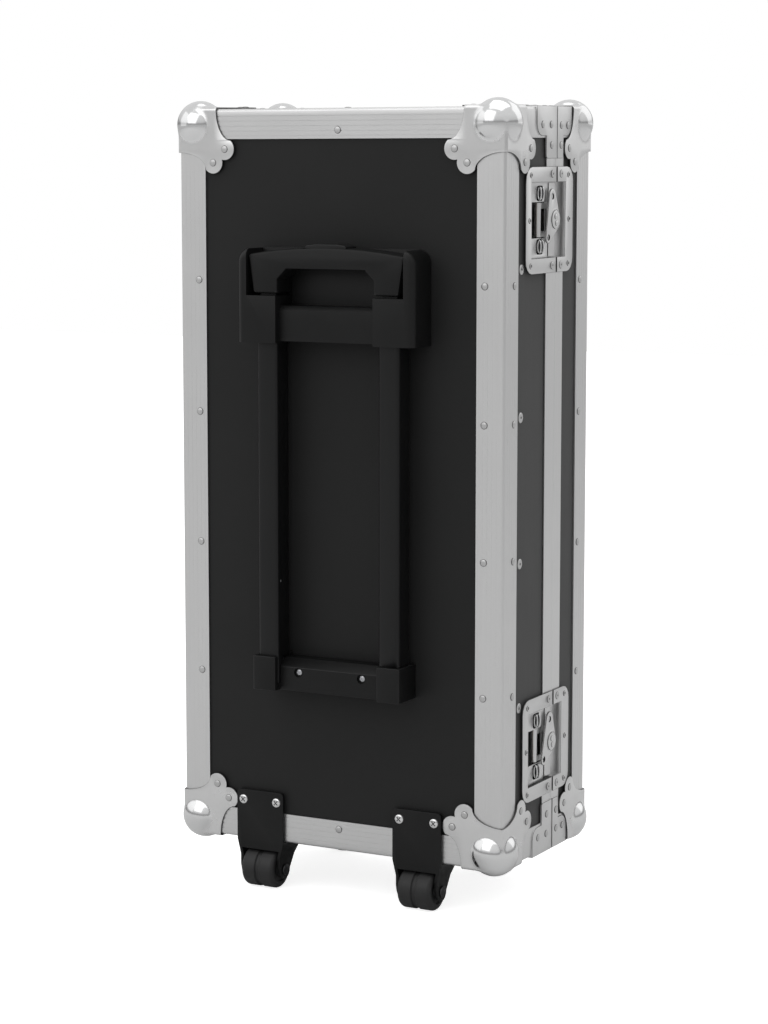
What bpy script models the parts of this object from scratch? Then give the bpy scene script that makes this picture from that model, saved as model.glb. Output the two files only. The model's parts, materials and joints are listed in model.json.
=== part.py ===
"""A tall flight case on wheels for compact discs, with a telescopic trolley handle.

The case stands upright.  Its front face, which carries the handle, looks along -Y.
The lid is the rear part; it opens like a door on a hinge at the -X side, and two
butterfly latches hold it at the +X side.  All sizes are in metres, +Z is up, and the
origin lies on the floor under the middle of the whole object.

Pieces are modelled in the case's own frame, which the empty "case" carries: x from the
middle of the case, y from its front face, z from its bottom face.
"""
import bmesh
import bpy
import math
from mathutils import Matrix, Vector

# the case
CASE_WIDTH = 0.364
CASE_HEIGHT = 0.745
BASE_DEPTH = 0.116          # front face to the seam
LID_DEPTH = 0.082
CASE_LIFT = 0.050           # floor to the bottom face, set by wheels and feet
PANEL = 0.0065              # laminated board
SHEET = 0.0015              # wall of the aluminium profiles
GAP = 0.0003                # between pieces that touch on the real case
EDGE_LEG = 0.030            # legs of the edge profiles
EDGE_RADIUS = 0.003
EDGE_END = 0.032            # the edge profiles stop this far from each corner

# closure profiles round the seam
BASE_COVER = 0.0215         # outer leg of the base's closure profile
LID_COVER = 0.018
CLOSURE_INNER = 0.015       # inner leg
TONGUE_HEIGHT = 0.0036
TONGUE_WIDTH = 0.0025
TONGUE_INSET = 0.0038       # outer face to the tongue
GROOVE_DEPTH = 0.0048

# corner braces at the seam, bent over the edge
BRACE_SHEET = 0.0012
BRACE_ARM_DROP = 0.028      # reach of an arm from the edge
BRACE_LEG_DROP = 0.050
BASE_BRACE_CORNER = 0.069   # front face to a base brace's arm
BASE_BRACE_LEG = 0.025
BRACE_CLEARANCE = 0.004     # a lid brace's arm to the ball corner
LEG_CLEARANCE = 0.0025
BRACE_RADIUS = 0.012
BRACE_TOE_RADIUS = 0.003

# ball corners
BALL_RADIUS = 0.024
BALL_PROUD = 0.0085         # how far a ball stands out of each face
FLANGE_SHEET = 0.0015
FLANGE_REACH = 0.0435       # corner to the flange's edge, along a case edge
FOLD_RADIUS = 0.0033
LOBE_FAR = 0.0535           # a rivet lobe's centre from the corner
LOBE_NEAR = 0.040
LOBE_RADIUS = 0.011
LOBE_START = 50             # degrees: where the flange's bowed edge meets the lobe
TIP_CUT = 0.013             # the flanges end here, inside the ball
BALL_CHAMFER = 0.0074       # the ball is solid up to here, measured over three axes
BOARD_CHAMFER = 0.0027      # room for it at a face board's corners

# latches
LATCH_FROM_END = 0.110      # latch centre to the case's top or bottom
LATCH_HEIGHT = 0.104
LATCH_BASE_WIDTH = 0.0722   # flange of the base half, seam to its far edge
LATCH_LID_WIDTH = 0.0382
LATCH_RADIUS = 0.014
LATCH_SHEET = 0.0012
FLANGE_SETBACK = 0.0008     # a latch flange stops this far from its half's edge
RECESS_HEIGHT = 0.074
RECESS_BASE = 0.0557        # seam to the recess's far wall, base half
RECESS_LID = 0.0197
RECESS_DEPTH = 0.0145
TAB_INNER = 0.0175          # the tabs leave a window this far from the latch centre
TAB_REACH = 0.0127          # seam to the tabs' edge
TAB_DEPTH = 0.0028
TAB_BEND = 0.0295           # from here to the window a tab leaves the recess's wall
TAB_TAPER = 0.006
SLOT_HALF = 0.0078          # slot in a tab, over the spring's coil
SLOT_SHIFT = 0.0022
SLOT_END = 0.0334
SLOT_RADIUS = 0.0035
PIN_RADIUS = 0.002
PIN_FROM_SEAM = 0.0287
PIN_DEPTH = 0.0065
COIL_RADIUS = 0.0048
COIL_WIRE = 0.0016
COIL_PITCH = 0.0028
COIL_TURNS = 2
COIL_POINTS = 9             # points in one turn
COIL_START = 0.0305         # outer end of each coil from the latch centre
BARREL_RADIUS = 0.0034
BORE_CLEARANCE = 0.0003
CARRIER_HALF = 0.0168
CARRIER_ARM = 0.0058
CARRIER_REACH = 0.0075      # the carrier's head passes the seam by this much
CARRIER_DEPTH = 0.0042
HEAD_HALF = 0.036
HEAD_PLAY = 0.0008
WING_FROM_SEAM = 0.0025     # twist axis to the seam
WING_TURN = 75              # degrees, until a wing is near the lid's recess wall
WING_RIM = 0.0115           # round the boss
WING_TIP = 0.0057
WING_ARM = 0.0243           # twist axis to the middle of a tip
WING_SPREAD = 62.3          # degrees from the wings' middle line to a tip
WING_BOW = 0.136            # radius of the long edge
WING_TILT = 9.1             # degrees
WING_FACE = 0.0009          # wings' outer face above the case's face
DOME_RADIUS = 0.0105
DOME_HEIGHT = 0.0042
WING_HOLE_RADIUS = 0.0022
HUB_RADIUS = 0.0045
CRANK_RADIUS = 0.0015
CRANK_THROW = 0.003
CRANK_PLAY = 0.0003
HOOK_HALF = 0.012
HOOK_TIP = 0.0055           # claw beyond the seam
CLAW_LENGTH = 0.003
KEEPER_LIP = 0.0020         # lip height over the recess floor

# piano hinge on the -X side
HINGE_KNUCKLES = 11
HINGE_END = 0.065
HINGE_RADIUS = 0.003
HINGE_AXIS_OUT = 0.0035     # axis beyond the case's face
HINGE_PIN_RADIUS = 0.0014
HINGE_LEAF = 0.016
HINGE_SHEET = 0.0012
KNUCKLE_GAP = 0.0005

# trolley handle
HANDLE_X = 0.004            # the handle is mounted a touch off the middle
HOUSING_HALF = 0.0985
HOUSING_PROUD = 0.037
HOUSING_BOTTOM = 0.5145
HOUSING_TOP = 0.608
HOUSING_BACK = 0.0035       # back plate's front face ahead of the case's face
HOUSING_SEAT = 0.0015       # back of the housing behind the case's face
EAR = 0.011
EAR_RADIUS = 0.010
SHOULDER_TOP = 0.5613
SHOULDER_WIDTH = 0.0442
BRIDGE_TOP = 0.5513
BRIDGE_BOTTOM = 0.5165
BRIDGE_PROUD = 0.029
BRIDGE_CHAMFER = 0.004
TUBE_FROM_SIDE = 0.0305     # tube axis to the housing's side
TUBE_WIDTH = 0.023
TUBE_DEPTH = 0.026
TUBE_CENTRE = 0.0175        # tube axis ahead of the case's face
TUBE_WALL = 0.0015
TUBE_RADIUS = 0.004
SLIDE_GAP = 0.0006
INNER_WALL = 0.0012
OUTER_TUBE_TOP = 0.5557
INNER_TUBE_BOTTOM = 0.176
FOOT_BOTTOM = 0.165         # lower bracket
FOOT_TOP = 0.1995
FOOT_SETBACK = 0.0158       # lower bracket narrower than the housing, each side
FOOT_BOSS = 0.0255
FOOT_PROUD = 0.036
FOOT_FLOOR = 0.007
FOOT_BRIDGE_TOP = 0.197
FOOT_BRIDGE_PROUD = 0.026
FOOT_BRIDGE_LEDGE = 0.016
FOOT_BRIDGE_SLOPE = 0.8
GRIP_BOTTOM = 0.5635
GRIP_SHOULDER = 0.602       # ends of the arch
GRIP_CROWN = 0.6093
GRIP_PLAY = 0.0007          # to the ears
GRIP_TAPER = 0.006
GRIP_FRONT = 0.0345
GRIP_BACK = 0.0045
GRIP_ROUND = 0.0028
FINGER_TOP = 0.5877
FINGER_FROM_SIDE = 0.045
FINGER_CHAMFER = 0.010
SOCKET_TOP = 0.588
BUTTON_HALF = 0.0225
BUTTON_PROUD = 0.0032
BUTTON_DEPTH = 0.0226
BUTTON_PLAY = 0.0008
BUTTON_TRAVEL = 0.004
BUTTON_BOTTOM = 0.5996
BUTTON_CENTRE = 0.0215      # ahead of the case's face
YOKE_SIDE = 0.0045
YOKE_BAR = 0.0038
YOKE_ROOM = 0.001           # round the yoke in the grip
ROD_END = 0.203
LOCK_PIN_Z = 0.196
LOCK_PIN_RADIUS = 0.0025
LOCK_PIN_LENGTH = 0.0115
LOCK_HOLE_PLAY = 0.0003
HANDLE_TRAVEL = 0.350

# wheels and feet
WHEEL_FROM_SIDE = 0.092
WHEEL_RADIUS = 0.020
WHEEL_WIDTH = 0.037
WHEEL_Y = 0.0075
WHEEL_ROUND = 0.004
WHEEL_GROOVE = 0.0016
WHEEL_GROOVE_WIDTH = 0.005
WHEEL_DISH = 0.002
AXLE_RADIUS = 0.004
AXLE_HEAD = 0.0058
AXLE_HEAD_SHEET = 0.0014
BRACKET_HALF = 0.027
BRACKET_TOP = 0.052
BRACKET_DROP = 0.0095       # front plate below the case's bottom
BRACKET_TAPER = 0.004       # each side narrows by this much
BRACKET_TAPER_DROP = 0.0165
BRACKET_SHEET = 0.0035
BRACKET_REACH = 0.038       # cheeks under the case
CHEEK = 0.003
CHEEK_NOSE = 0.010
FOOT_FROM_SIDE = 0.092
FOOT_FROM_REAR = 0.018
FOOT_TOP_RADIUS = 0.0155
FOOT_LOW_RADIUS = 0.0135
FOOT_EDGE = 0.002

# inside
FLOOR_Y = 0.040             # middle of the inner floor board
DIVIDER = 0.006             # ends just before the closure profile's inner leg

PIVOT_SIZE = 0.020          # how large the empties are drawn

# worked out from the sizes above
TUBE_SPACING = 2 * (HOUSING_HALF - TUBE_FROM_SIDE)
SHOULDER_HALF = HOUSING_HALF - SHOULDER_WIDTH
FOOT_HALF = HOUSING_HALF - FOOT_SETBACK
GRIP_HALF_TOP = HOUSING_HALF - EAR - GRIP_PLAY
GRIP_HALF_BOTTOM = GRIP_HALF_TOP - GRIP_TAPER
FINGER_HALF = HOUSING_HALF - FINGER_FROM_SIDE
CASE_DEPTH = BASE_DEPTH + LID_DEPTH
HALF_WIDTH = CASE_WIDTH / 2
WHEEL_X = HALF_WIDTH - WHEEL_FROM_SIDE
FOOT_X = HALF_WIDTH - FOOT_FROM_SIDE
BASE_BRACE_ARM = BASE_DEPTH - BASE_BRACE_CORNER
LID_BRACE_ARM = LID_DEPTH - FLANGE_REACH - BRACE_CLEARANCE
LID_BRACE_LEG = LID_DEPTH - LOBE_FAR - LOBE_RADIUS - LEG_CLEARANCE
PANEL_INSET = SHEET + GAP
INNER_SIDE = PANEL_INSET + PANEL
HALF_GAP = GAP / 2
TOTAL_DEPTH = HOUSING_PROUD + CASE_DEPTH + BALL_PROUD
FRONT_Y = HOUSING_PROUD - TOTAL_DEPTH / 2
BASE_SEAM = BASE_DEPTH - HALF_GAP
LID_SEAM = BASE_DEPTH + HALF_GAP
LATCH_PIN_Y = BASE_SEAM - HALF_GAP - PIN_FROM_SEAM
LATCH_LEVELS = {"upper": CASE_HEIGHT - LATCH_FROM_END, "lower": LATCH_FROM_END}
CRANK_BACK = CRANK_THROW * math.sin(math.radians(WING_TURN / 2))
CRANK_LOW = CRANK_THROW * math.cos(math.radians(WING_TURN / 2))
SIDES = {"left": -1, "right": 1}

MATERIALS = {
    "laminate": ((0.012, 0.012, 0.013), 0.55, 0.0),
    "board": ((0.28, 0.19, 0.11), 0.7, 0.0),
    "aluminium": ((0.62, 0.63, 0.63), 0.38, 1.0),
    "zinc": ((0.70, 0.71, 0.72), 0.22, 1.0),
    "steel": ((0.45, 0.46, 0.48), 0.3, 1.0),
    "black_plastic": ((0.02, 0.02, 0.021), 0.45, 0.0),
    "black_tube": ((0.018, 0.018, 0.019), 0.4, 0.3),
    "wheel_rubber": ((0.03, 0.03, 0.032), 0.6, 0.0),
}


def clear_scene():
    """Remove what a new file starts with."""
    for obj in list(bpy.data.objects):
        bpy.data.objects.remove(obj, do_unlink=True)


def make_material(name):
    """A Principled material from the table above."""
    colour, roughness, metallic = MATERIALS[name]
    material = bpy.data.materials.get(name) or bpy.data.materials.new(name)
    material.use_nodes = True
    shader = material.node_tree.nodes["Principled BSDF"]
    shader.inputs["Base Color"].default_value = (*colour, 1.0)
    shader.inputs["Roughness"].default_value = roughness
    shader.inputs["Metallic"].default_value = metallic
    return material


def pivots():
    """Places of the empties, in the case's frame: the case itself and each joint's axis."""
    places = {
        "case": (0.0, 0.0, 0.0),
        "lid_pivot": (-HALF_WIDTH - HINGE_AXIS_OUT, BASE_DEPTH, CASE_HEIGHT / 2),
        "handle_slide": (HANDLE_X, -TUBE_CENTRE, INNER_TUBE_BOTTOM),
        "button_slide": (HANDLE_X, -BUTTON_CENTRE, BUTTON_BOTTOM),
    }
    twist_y = LATCH_PIN_Y + PIN_FROM_SEAM - WING_FROM_SEAM
    for level, z in LATCH_LEVELS.items():
        places[f"{level}_latch_pivot"] = (HALF_WIDTH - PIN_DEPTH, LATCH_PIN_Y, z)
        places[f"{level}_twist_pivot"] = (HALF_WIDTH, twist_y, z)
    for name, side in SIDES.items():
        places[f"{name}_wheel_pivot"] = (side * WHEEL_X, WHEEL_Y, WHEEL_RADIUS - CASE_LIFT)
    return places


def add_pivots():
    """An empty at each place; all are children of the case's own empty."""
    for name, place in pivots().items():
        empty = bpy.data.objects.new(name, None)
        empty.empty_display_size = PIVOT_SIZE
        empty.location = place
        bpy.context.scene.collection.objects.link(empty)
        if name == "case":
            empty.location = (0.0, FRONT_Y, CASE_LIFT)
        else:
            empty.parent = bpy.data.objects["case"]


def from_bmesh(name, bm):
    """A new object whose faces all point out."""
    bmesh.ops.recalc_face_normals(bm, faces=bm.faces)
    if bm.calc_volume(signed=True) < 0.0:
        bmesh.ops.reverse_faces(bm, faces=bm.faces)
    mesh = bpy.data.meshes.new(name)
    bm.to_mesh(mesh)
    bm.free()
    obj = bpy.data.objects.new(name, mesh)
    bpy.context.scene.collection.objects.link(obj)
    return obj


def settle(obj, material, pivot="case"):
    """Give a finished piece its material and shading, and hang it on its pivot."""
    obj.data.transform(Matrix.Translation(-Vector(pivots()[pivot])))
    obj.parent = bpy.data.objects[pivot]
    obj.data.materials.clear()
    obj.data.materials.append(make_material(material))
    obj.data.shade_smooth()
    obj.data.set_sharp_from_angle(angle=math.radians(32))
    return obj


def bake(obj):
    """Turn an object's modifiers into its mesh."""
    depsgraph = bpy.context.evaluated_depsgraph_get()
    mesh = bpy.data.meshes.new_from_object(obj.evaluated_get(depsgraph))
    obj.modifiers.clear()
    obj.data = mesh


def combine(target, tools, operation):
    """Union with, or cut by, each tool; the tools are used up."""
    for tool in tools:
        modifier = target.modifiers.new(operation.lower(), "BOOLEAN")
        modifier.operation = operation
        modifier.solver = "EXACT"
        modifier.object = tool
    bake(target)
    for tool in tools:
        bpy.data.objects.remove(tool, do_unlink=True)
    return target


def arc(centre, radius, start, end, steps):
    """Points on a circle from one angle to another, in degrees."""
    angles = [math.radians(start + (end - start) * i / steps) for i in range(steps + 1)]
    return [(centre[0] + radius * math.cos(a), centre[1] + radius * math.sin(a)) for a in angles]


def polar(centre, radius, angle):
    """A point at a distance and an angle in degrees."""
    return arc(centre, radius, angle, angle, 1)[0]


def rounded_box_outline(u0, v0, u1, v1, radius, steps=3):
    """A rectangle with round corners."""
    points = arc((u1 - radius, v1 - radius), radius, 0, 90, steps)
    points += arc((u0 + radius, v1 - radius), radius, 90, 180, steps)
    points += arc((u0 + radius, v0 + radius), radius, 180, 270, steps)
    points += arc((u1 - radius, v0 + radius), radius, 270, 360, steps)
    return points


def along(axis, u, v, height):
    """A point from two in-plane coordinates, in axis order, and one along the axis."""
    return {"X": (height, u, v), "Y": (u, height, v), "Z": (u, v, height)}[axis]


def loft(name, loops):
    """A closed body through loops of equal count, capped at both ends."""
    bm = bmesh.new()
    rings = [[bm.verts.new(point) for point in loop] for loop in loops]
    for low, high in zip(rings, rings[1:]):
        for i in range(len(low)):
            j = (i + 1) % len(low)
            bm.faces.new((low[i], low[j], high[j], high[i]))
    bm.faces.new(rings[0])
    bm.faces.new(rings[-1])
    return from_bmesh(name, bm)


def prism(name, outline, axis, low, high):
    """An outline extruded along one axis."""
    return loft(name, [[along(axis, u, v, h) for u, v in outline] for h in (low, high)])


def box(name, x, y, z):
    """A block from its three ranges."""
    outline = [(x[0], y[0]), (x[1], y[0]), (x[1], y[1]), (x[0], y[1])]
    return prism(name, outline, "Z", z[0], z[1])


def turned(name, profile, axis, centre, sides, ring=False):
    """A body turned from (radius, height) points; a ring's profile closes on itself."""
    bm = bmesh.new()
    middle = Vector(centre)
    points = [bm.verts.new(middle + Vector(along(axis, r, 0.0, h))) for r, h in profile]
    edges = [bm.edges.new(pair) for pair in zip(points, points[1:])]
    if ring:
        edges.append(bm.edges.new((points[-1], points[0])))
    bmesh.ops.spin(bm, geom=points + edges, cent=middle, axis=Vector(along(axis, 0.0, 0.0, 1.0)),
                   angle=2 * math.pi, steps=sides)
    bmesh.ops.remove_doubles(bm, verts=bm.verts, dist=1e-6)
    return from_bmesh(name, bm)


def cylinder(name, axis, centre, radius, low, high, sides):
    """A round bar between two heights along its axis."""
    u, v = centre
    outline = arc((u, v), radius, 0, 360, sides)[:-1]
    return prism(name, outline, axis, low, high)


def keep_beyond(obj, total):
    """Cut off what lies nearer to the origin than the plane x + y + z = total."""
    bm = bmesh.new()
    bm.from_mesh(obj.data)
    geometry = bm.verts[:] + bm.edges[:] + bm.faces[:]
    cut = bmesh.ops.bisect_plane(bm, geom=geometry, dist=1e-7, plane_co=[total / 3] * 3,
                                 plane_no=(1.0, 1.0, 1.0), clear_inner=True)
    rim = [item for item in cut["geom_cut"] if isinstance(item, bmesh.types.BMEdge)]
    bmesh.ops.holes_fill(bm, edges=rim, sides=0)
    bmesh.ops.recalc_face_normals(bm, faces=bm.faces)
    bm.to_mesh(obj.data)
    bm.free()


def case_corner(side, rear, top, point):
    """A point given by its distances inward from one corner's three faces."""
    u, v, w = point
    return (side * (HALF_WIDTH - u), CASE_DEPTH - v if rear else v, CASE_HEIGHT - w if top else w)


# panels


def face_panel(name, low, high, pivot):
    """The large board of the base or of the lid, its corners cut for the ball corners."""
    reach = HALF_WIDTH - PANEL_INSET
    bottom, top = PANEL_INSET, CASE_HEIGHT - PANEL_INSET
    cut = BOARD_CHAMFER
    outline = [(reach, bottom + cut), (reach, top - cut), (reach - cut, top), (cut - reach, top)]
    outline += [(-reach, top - cut), (-reach, bottom + cut)]
    outline += [(cut - reach, bottom), (reach - cut, bottom)]
    return settle(prism(name, outline, "Y", low, high), "laminate", pivot)


def walls(name, low, high, cutouts, pivot):
    """The four side boards glued to one ring, notched for the latch dishes."""
    reach = HALF_WIDTH - PANEL_INSET
    inner = HALF_WIDTH - INNER_SIDE
    ring = box(name, (-reach, reach), (low, high), (PANEL_INSET, CASE_HEIGHT - PANEL_INSET))
    z = (INNER_SIDE, CASE_HEIGHT - INNER_SIDE)
    hollow = box("hollow", (-inner, inner), (low - GAP, high + GAP), z)
    return settle(combine(ring, [hollow] + cutouts, "DIFFERENCE"), "laminate", pivot)


def latch_cutouts(low, high):
    """One block for each latch dish, through the right-hand wall."""
    half = RECESS_HEIGHT / 2 + LATCH_SHEET + GAP
    x = (HALF_WIDTH - 2 * RECESS_DEPTH, HALF_WIDTH + LATCH_RADIUS)
    return [box("cutout", x, (low, high), (z - half, z + half)) for z in LATCH_LEVELS.values()]


def make_panels():
    """Face boards and wall rings of base and lid."""
    web = SHEET + GAP
    front = (PANEL_INSET, PANEL_INSET + PANEL)
    back = (CASE_DEPTH - front[1], CASE_DEPTH - front[0])
    face_panel("base_face_panel", *front, "case")
    face_panel("lid_panel", *back, "lid_pivot")
    dish = BASE_SEAM - RECESS_BASE - LATCH_SHEET - GAP
    keeper = LID_SEAM + RECESS_LID + LATCH_SHEET + GAP
    walls("base_walls", front[1] + GAP, BASE_SEAM - web, latch_cutouts(dish, BASE_DEPTH), "case")
    near = LID_SEAM + GROOVE_DEPTH + web
    walls("lid_walls", near, back[0] - GAP, latch_cutouts(BASE_DEPTH, keeper), "lid_pivot")


# aluminium edges


def angle_section():
    """An angle profile, outer corner at the origin, legs along both axes."""
    outline = arc((EDGE_RADIUS, EDGE_RADIUS), EDGE_RADIUS, 270, 180, 3)
    outline += [(0.0, EDGE_LEG), (SHEET, EDGE_LEG), (SHEET, SHEET), (EDGE_LEG, SHEET)]
    return outline + [(EDGE_LEG, 0.0)]


def edge_profiles(prefix, rear):
    """The four angles round the face of the base or of the lid."""
    section = angle_section()
    pivot = "lid_pivot" if rear else "case"
    for name, side in SIDES.items():
        loops = [[case_corner(side, rear, False, (a, b, w)) for a, b in section]
                 for w in (EDGE_END, CASE_HEIGHT - EDGE_END)]
        settle(loft(f"{prefix}_edge_{name}", loops), "aluminium", pivot)
    for name, top in (("top", True), ("bottom", False)):
        loops = [[case_corner(1, rear, top, (u, a, b)) for a, b in section]
                 for u in (EDGE_END, CASE_WIDTH - EDGE_END)]
        settle(loft(f"{prefix}_edge_{name}", loops), "aluminium", pivot)


def base_closure_section():
    """(outward, y) points of the base's closure profile with its tongue."""
    inner = -INNER_SIDE - GAP
    deep = inner - SHEET
    cover = BASE_SEAM - BASE_COVER
    inside = BASE_SEAM - CLOSURE_INNER
    tongue = -TONGUE_INSET - TONGUE_WIDTH
    return [
        (0.0, cover), (0.0, BASE_SEAM), (-TONGUE_INSET, BASE_SEAM),
        (-TONGUE_INSET, BASE_SEAM + TONGUE_HEIGHT), (tongue, BASE_SEAM + TONGUE_HEIGHT),
        (tongue, BASE_SEAM), (deep, BASE_SEAM), (deep, inside), (inner, inside),
        (inner, BASE_SEAM - SHEET), (-SHEET, BASE_SEAM - SHEET), (-SHEET, cover)]


def lid_closure_section():
    """(outward, y) points of the lid's closure profile with its groove."""
    inner = -INNER_SIDE - GAP
    deep = inner - SHEET
    cover = LID_SEAM + LID_COVER
    inside = LID_SEAM + CLOSURE_INNER
    web = LID_SEAM + GROOVE_DEPTH
    return [
        (0.0, cover), (0.0, LID_SEAM), (-SHEET, LID_SEAM), (-SHEET, web), (inner, web),
        (inner, LID_SEAM), (deep, LID_SEAM), (deep, inside), (inner, inside),
        (inner, web + SHEET), (-SHEET, web + SHEET), (-SHEET, cover)]


def closure_ring(name, section):
    """A closure profile mitred round the seam, left out between the latches on the right."""
    corners = ((-1, -1), (1, -1), (1, 1), (-1, 1))
    half_height = CASE_HEIGHT / 2
    bm = bmesh.new()
    rings = []
    for sx, sz in corners:
        ring = [bm.verts.new((sx * (HALF_WIDTH + n), y, half_height + sz * (half_height + n)))
                for n, y in section]
        rings.append(ring)
    for k in range(4):
        here, there = rings[k], rings[(k + 1) % 4]
        for i in range(len(section)):
            j = (i + 1) % len(section)
            bm.faces.new((here[i], here[j], there[j], there[i]))
    return from_bmesh(name, bm)


def latch_span():
    """The stretch of seam from the lower latch dish to the upper one, both included."""
    half = RECESS_HEIGHT / 2 + LATCH_SHEET + GAP
    return LATCH_LEVELS["lower"] - half, LATCH_LEVELS["upper"] + half


def brace_outline(seam, direction, arm, leg):
    """(drop from the edge, y) points of a brace's L shape, round at its free corners."""
    far = seam + direction * arm
    shank = seam + direction * leg
    turn = BRACE_RADIUS
    corner = arc((BRACE_ARM_DROP - turn, far - direction * turn), turn, 90 * direction, 0, 4)
    turn = BRACE_TOE_RADIUS
    toe = arc((BRACE_LEG_DROP - turn, shank - direction * turn), turn, 90 * direction, 0, 2)
    points = [(-BRACE_SHEET, seam), (-BRACE_SHEET, far)] + corner
    return points + [(BRACE_ARM_DROP, shank)] + toe + [(BRACE_LEG_DROP, seam)]


def corner_braces(seam, direction, arm, leg):
    """Two plates over each of the four edges at the seam."""
    outline = brace_outline(seam, direction, arm, leg)
    skin = (SHEET / 2, -BRACE_SHEET)
    plates = []
    for side in SIDES.values():
        for top in (True, False):
            on_side = [[case_corner(side, False, top, (u, y, drop)) for drop, y in outline]
                       for u in skin]
            on_end = [[case_corner(side, False, top, (drop, y, w)) for drop, y in outline]
                      for w in skin]
            plates += [loft("brace", on_side), loft("brace", on_end)]
    return plates


def depth_angles(low, high):
    """Short angles along the case's depth, under the braces."""
    section = angle_section()
    pieces = []
    for side in SIDES.values():
        for top in (True, False):
            loops = [[case_corner(side, False, top, (a, y, b)) for a, b in section]
                     for y in (low, high)]
            pieces.append(loft("angle", loops))
    return pieces


def closure_frame(name, section, angles, braces, pivot):
    """Closure ring with its braces and short angles, open between the latches."""
    ring = closure_ring(name, section)
    low, high = latch_span()
    x = (HALF_WIDTH - EDGE_LEG, HALF_WIDTH + EDGE_LEG)
    cutter = box("cutter", x, (0.0, CASE_DEPTH), (low, high))
    combine(ring, [cutter], "DIFFERENCE")
    return settle(combine(ring, angles + braces, "UNION"), "aluminium", pivot)


def closure_bar(name, section, pivot):
    """The closure profile between the two latches."""
    half = RECESS_HEIGHT / 2 + LATCH_SHEET + GAP
    outline = [(HALF_WIDTH + n, y) for n, y in section]
    bar = prism(name, outline, "Z", LATCH_LEVELS["lower"] + half, LATCH_LEVELS["upper"] - half)
    return settle(bar, "aluminium", pivot)


def make_closures():
    """Closure frames and bars of base and lid."""
    base = base_closure_section()
    lid = lid_closure_section()
    angles = depth_angles(EDGE_END, BASE_SEAM - BASE_COVER / 2)
    braces = corner_braces(BASE_SEAM, -1, BASE_BRACE_ARM, BASE_BRACE_LEG)
    closure_frame("base_closure_frame", base, angles, braces, "case")
    angles = depth_angles(LID_SEAM + LID_COVER / 2, CASE_DEPTH - EDGE_END)
    braces = corner_braces(LID_SEAM, 1, LID_BRACE_ARM, LID_BRACE_LEG)
    closure_frame("lid_closure_frame", lid, angles, braces, "lid_pivot")
    closure_bar("base_closure_bar", base, "case")
    closure_bar("lid_closure_bar", lid, "lid_pivot")


# ball corners


def flange_outline():
    """One flange seen from outside, measured inward from the case's corner."""
    skin = GAP + FLANGE_SHEET
    # the two lobes meet on the flange's diagonal
    notch = 135 - math.degrees(math.acos((LOBE_FAR - LOBE_NEAR) / (LOBE_RADIUS * math.sqrt(2))))
    lobe = arc((LOBE_FAR, LOBE_NEAR), LOBE_RADIUS, -LOBE_START, notch, 6)
    # a quarter of an ellipse from the case edge to the lobe
    far, rise = lobe[0]
    angles = [math.pi / 2 * i / 5 for i in range(5)]
    bow = [(far - (far - FLANGE_REACH) * math.cos(a), rise * math.sin(a)) for a in angles]
    half = [(FLANGE_REACH, -skin)] + bow + lobe
    mirrored = [(v, u) for u, v in reversed(half)]
    return [(-skin, -skin)] + half + mirrored[1:]


def fold_cutters(skin):
    """Three bars that round the edges along which the flanges are folded."""
    turn = FOLD_RADIUS - skin
    outer = -2 * skin
    outline = [(outer, outer), (turn, outer)]
    outline += arc((turn, turn), FOLD_RADIUS, 270, 180, 3) + [(outer, turn)]
    return [prism("fold", outline, axis, outer, LOBE_FAR + LOBE_RADIUS) for axis in "XYZ"]


def ball_corner_master():
    """One ball corner in inward coordinates, its case corner at the origin."""
    skin = GAP + FLANGE_SHEET
    outline = flange_outline()
    inset = BALL_RADIUS - BALL_PROUD
    span = 20
    profile = arc((0.0, 0.0), BALL_RADIUS, -90, 90, span // 2)
    ball = turned("ball", profile, "Z", (inset, inset, inset), span)
    flange, *others = [prism("flange", outline, axis, -skin, GAP) for axis in "XYZ"]
    combine(flange, others, "UNION")
    combine(flange, fold_cutters(skin), "DIFFERENCE")
    keep_beyond(flange, TIP_CUT)
    combine(ball, [flange], "UNION")
    room = (-GAP, 2 * (LOBE_FAR + LOBE_RADIUS))
    inside = box("inside", room, room, room)
    keep_beyond(inside, BALL_CHAMFER)
    return combine(ball, [inside], "DIFFERENCE")


def make_ball_corners():
    """Eight copies of the ball corner, each with its own mesh."""
    master = ball_corner_master()
    for prefix, rear in (("base", False), ("lid", True)):
        for level, top in (("top", True), ("bottom", False)):
            for name, side in SIDES.items():
                bm = bmesh.new()
                bm.from_mesh(master.data)
                for vert in bm.verts:
                    vert.co = case_corner(side, rear, top, vert.co)
                corner = from_bmesh(f"{prefix}_ball_corner_{level}_{name}", bm)
                settle(corner, "zinc", "lid_pivot" if rear else "case")
    bpy.data.objects.remove(master, do_unlink=True)


# latches


def latch_flange(name, z, seam, direction, width):
    """Flat flange with its outer corners rounded."""
    half = LATCH_HEIGHT / 2
    near = seam + direction * FLANGE_SETBACK
    far = seam + direction * width
    turn = LATCH_RADIUS
    corner = far - direction * turn
    outline = [(near, z + half)]
    outline += arc((corner, z + half - turn), turn, 90, 90 - 90 * direction, 4)
    outline += arc((corner, z - half + turn), turn, 90 - 90 * direction, 90 - 180 * direction, 4)
    outline += [(near, z - half)]
    return prism(name, outline, "X", HALF_WIDTH + GAP, HALF_WIDTH + GAP + LATCH_SHEET)


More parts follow.
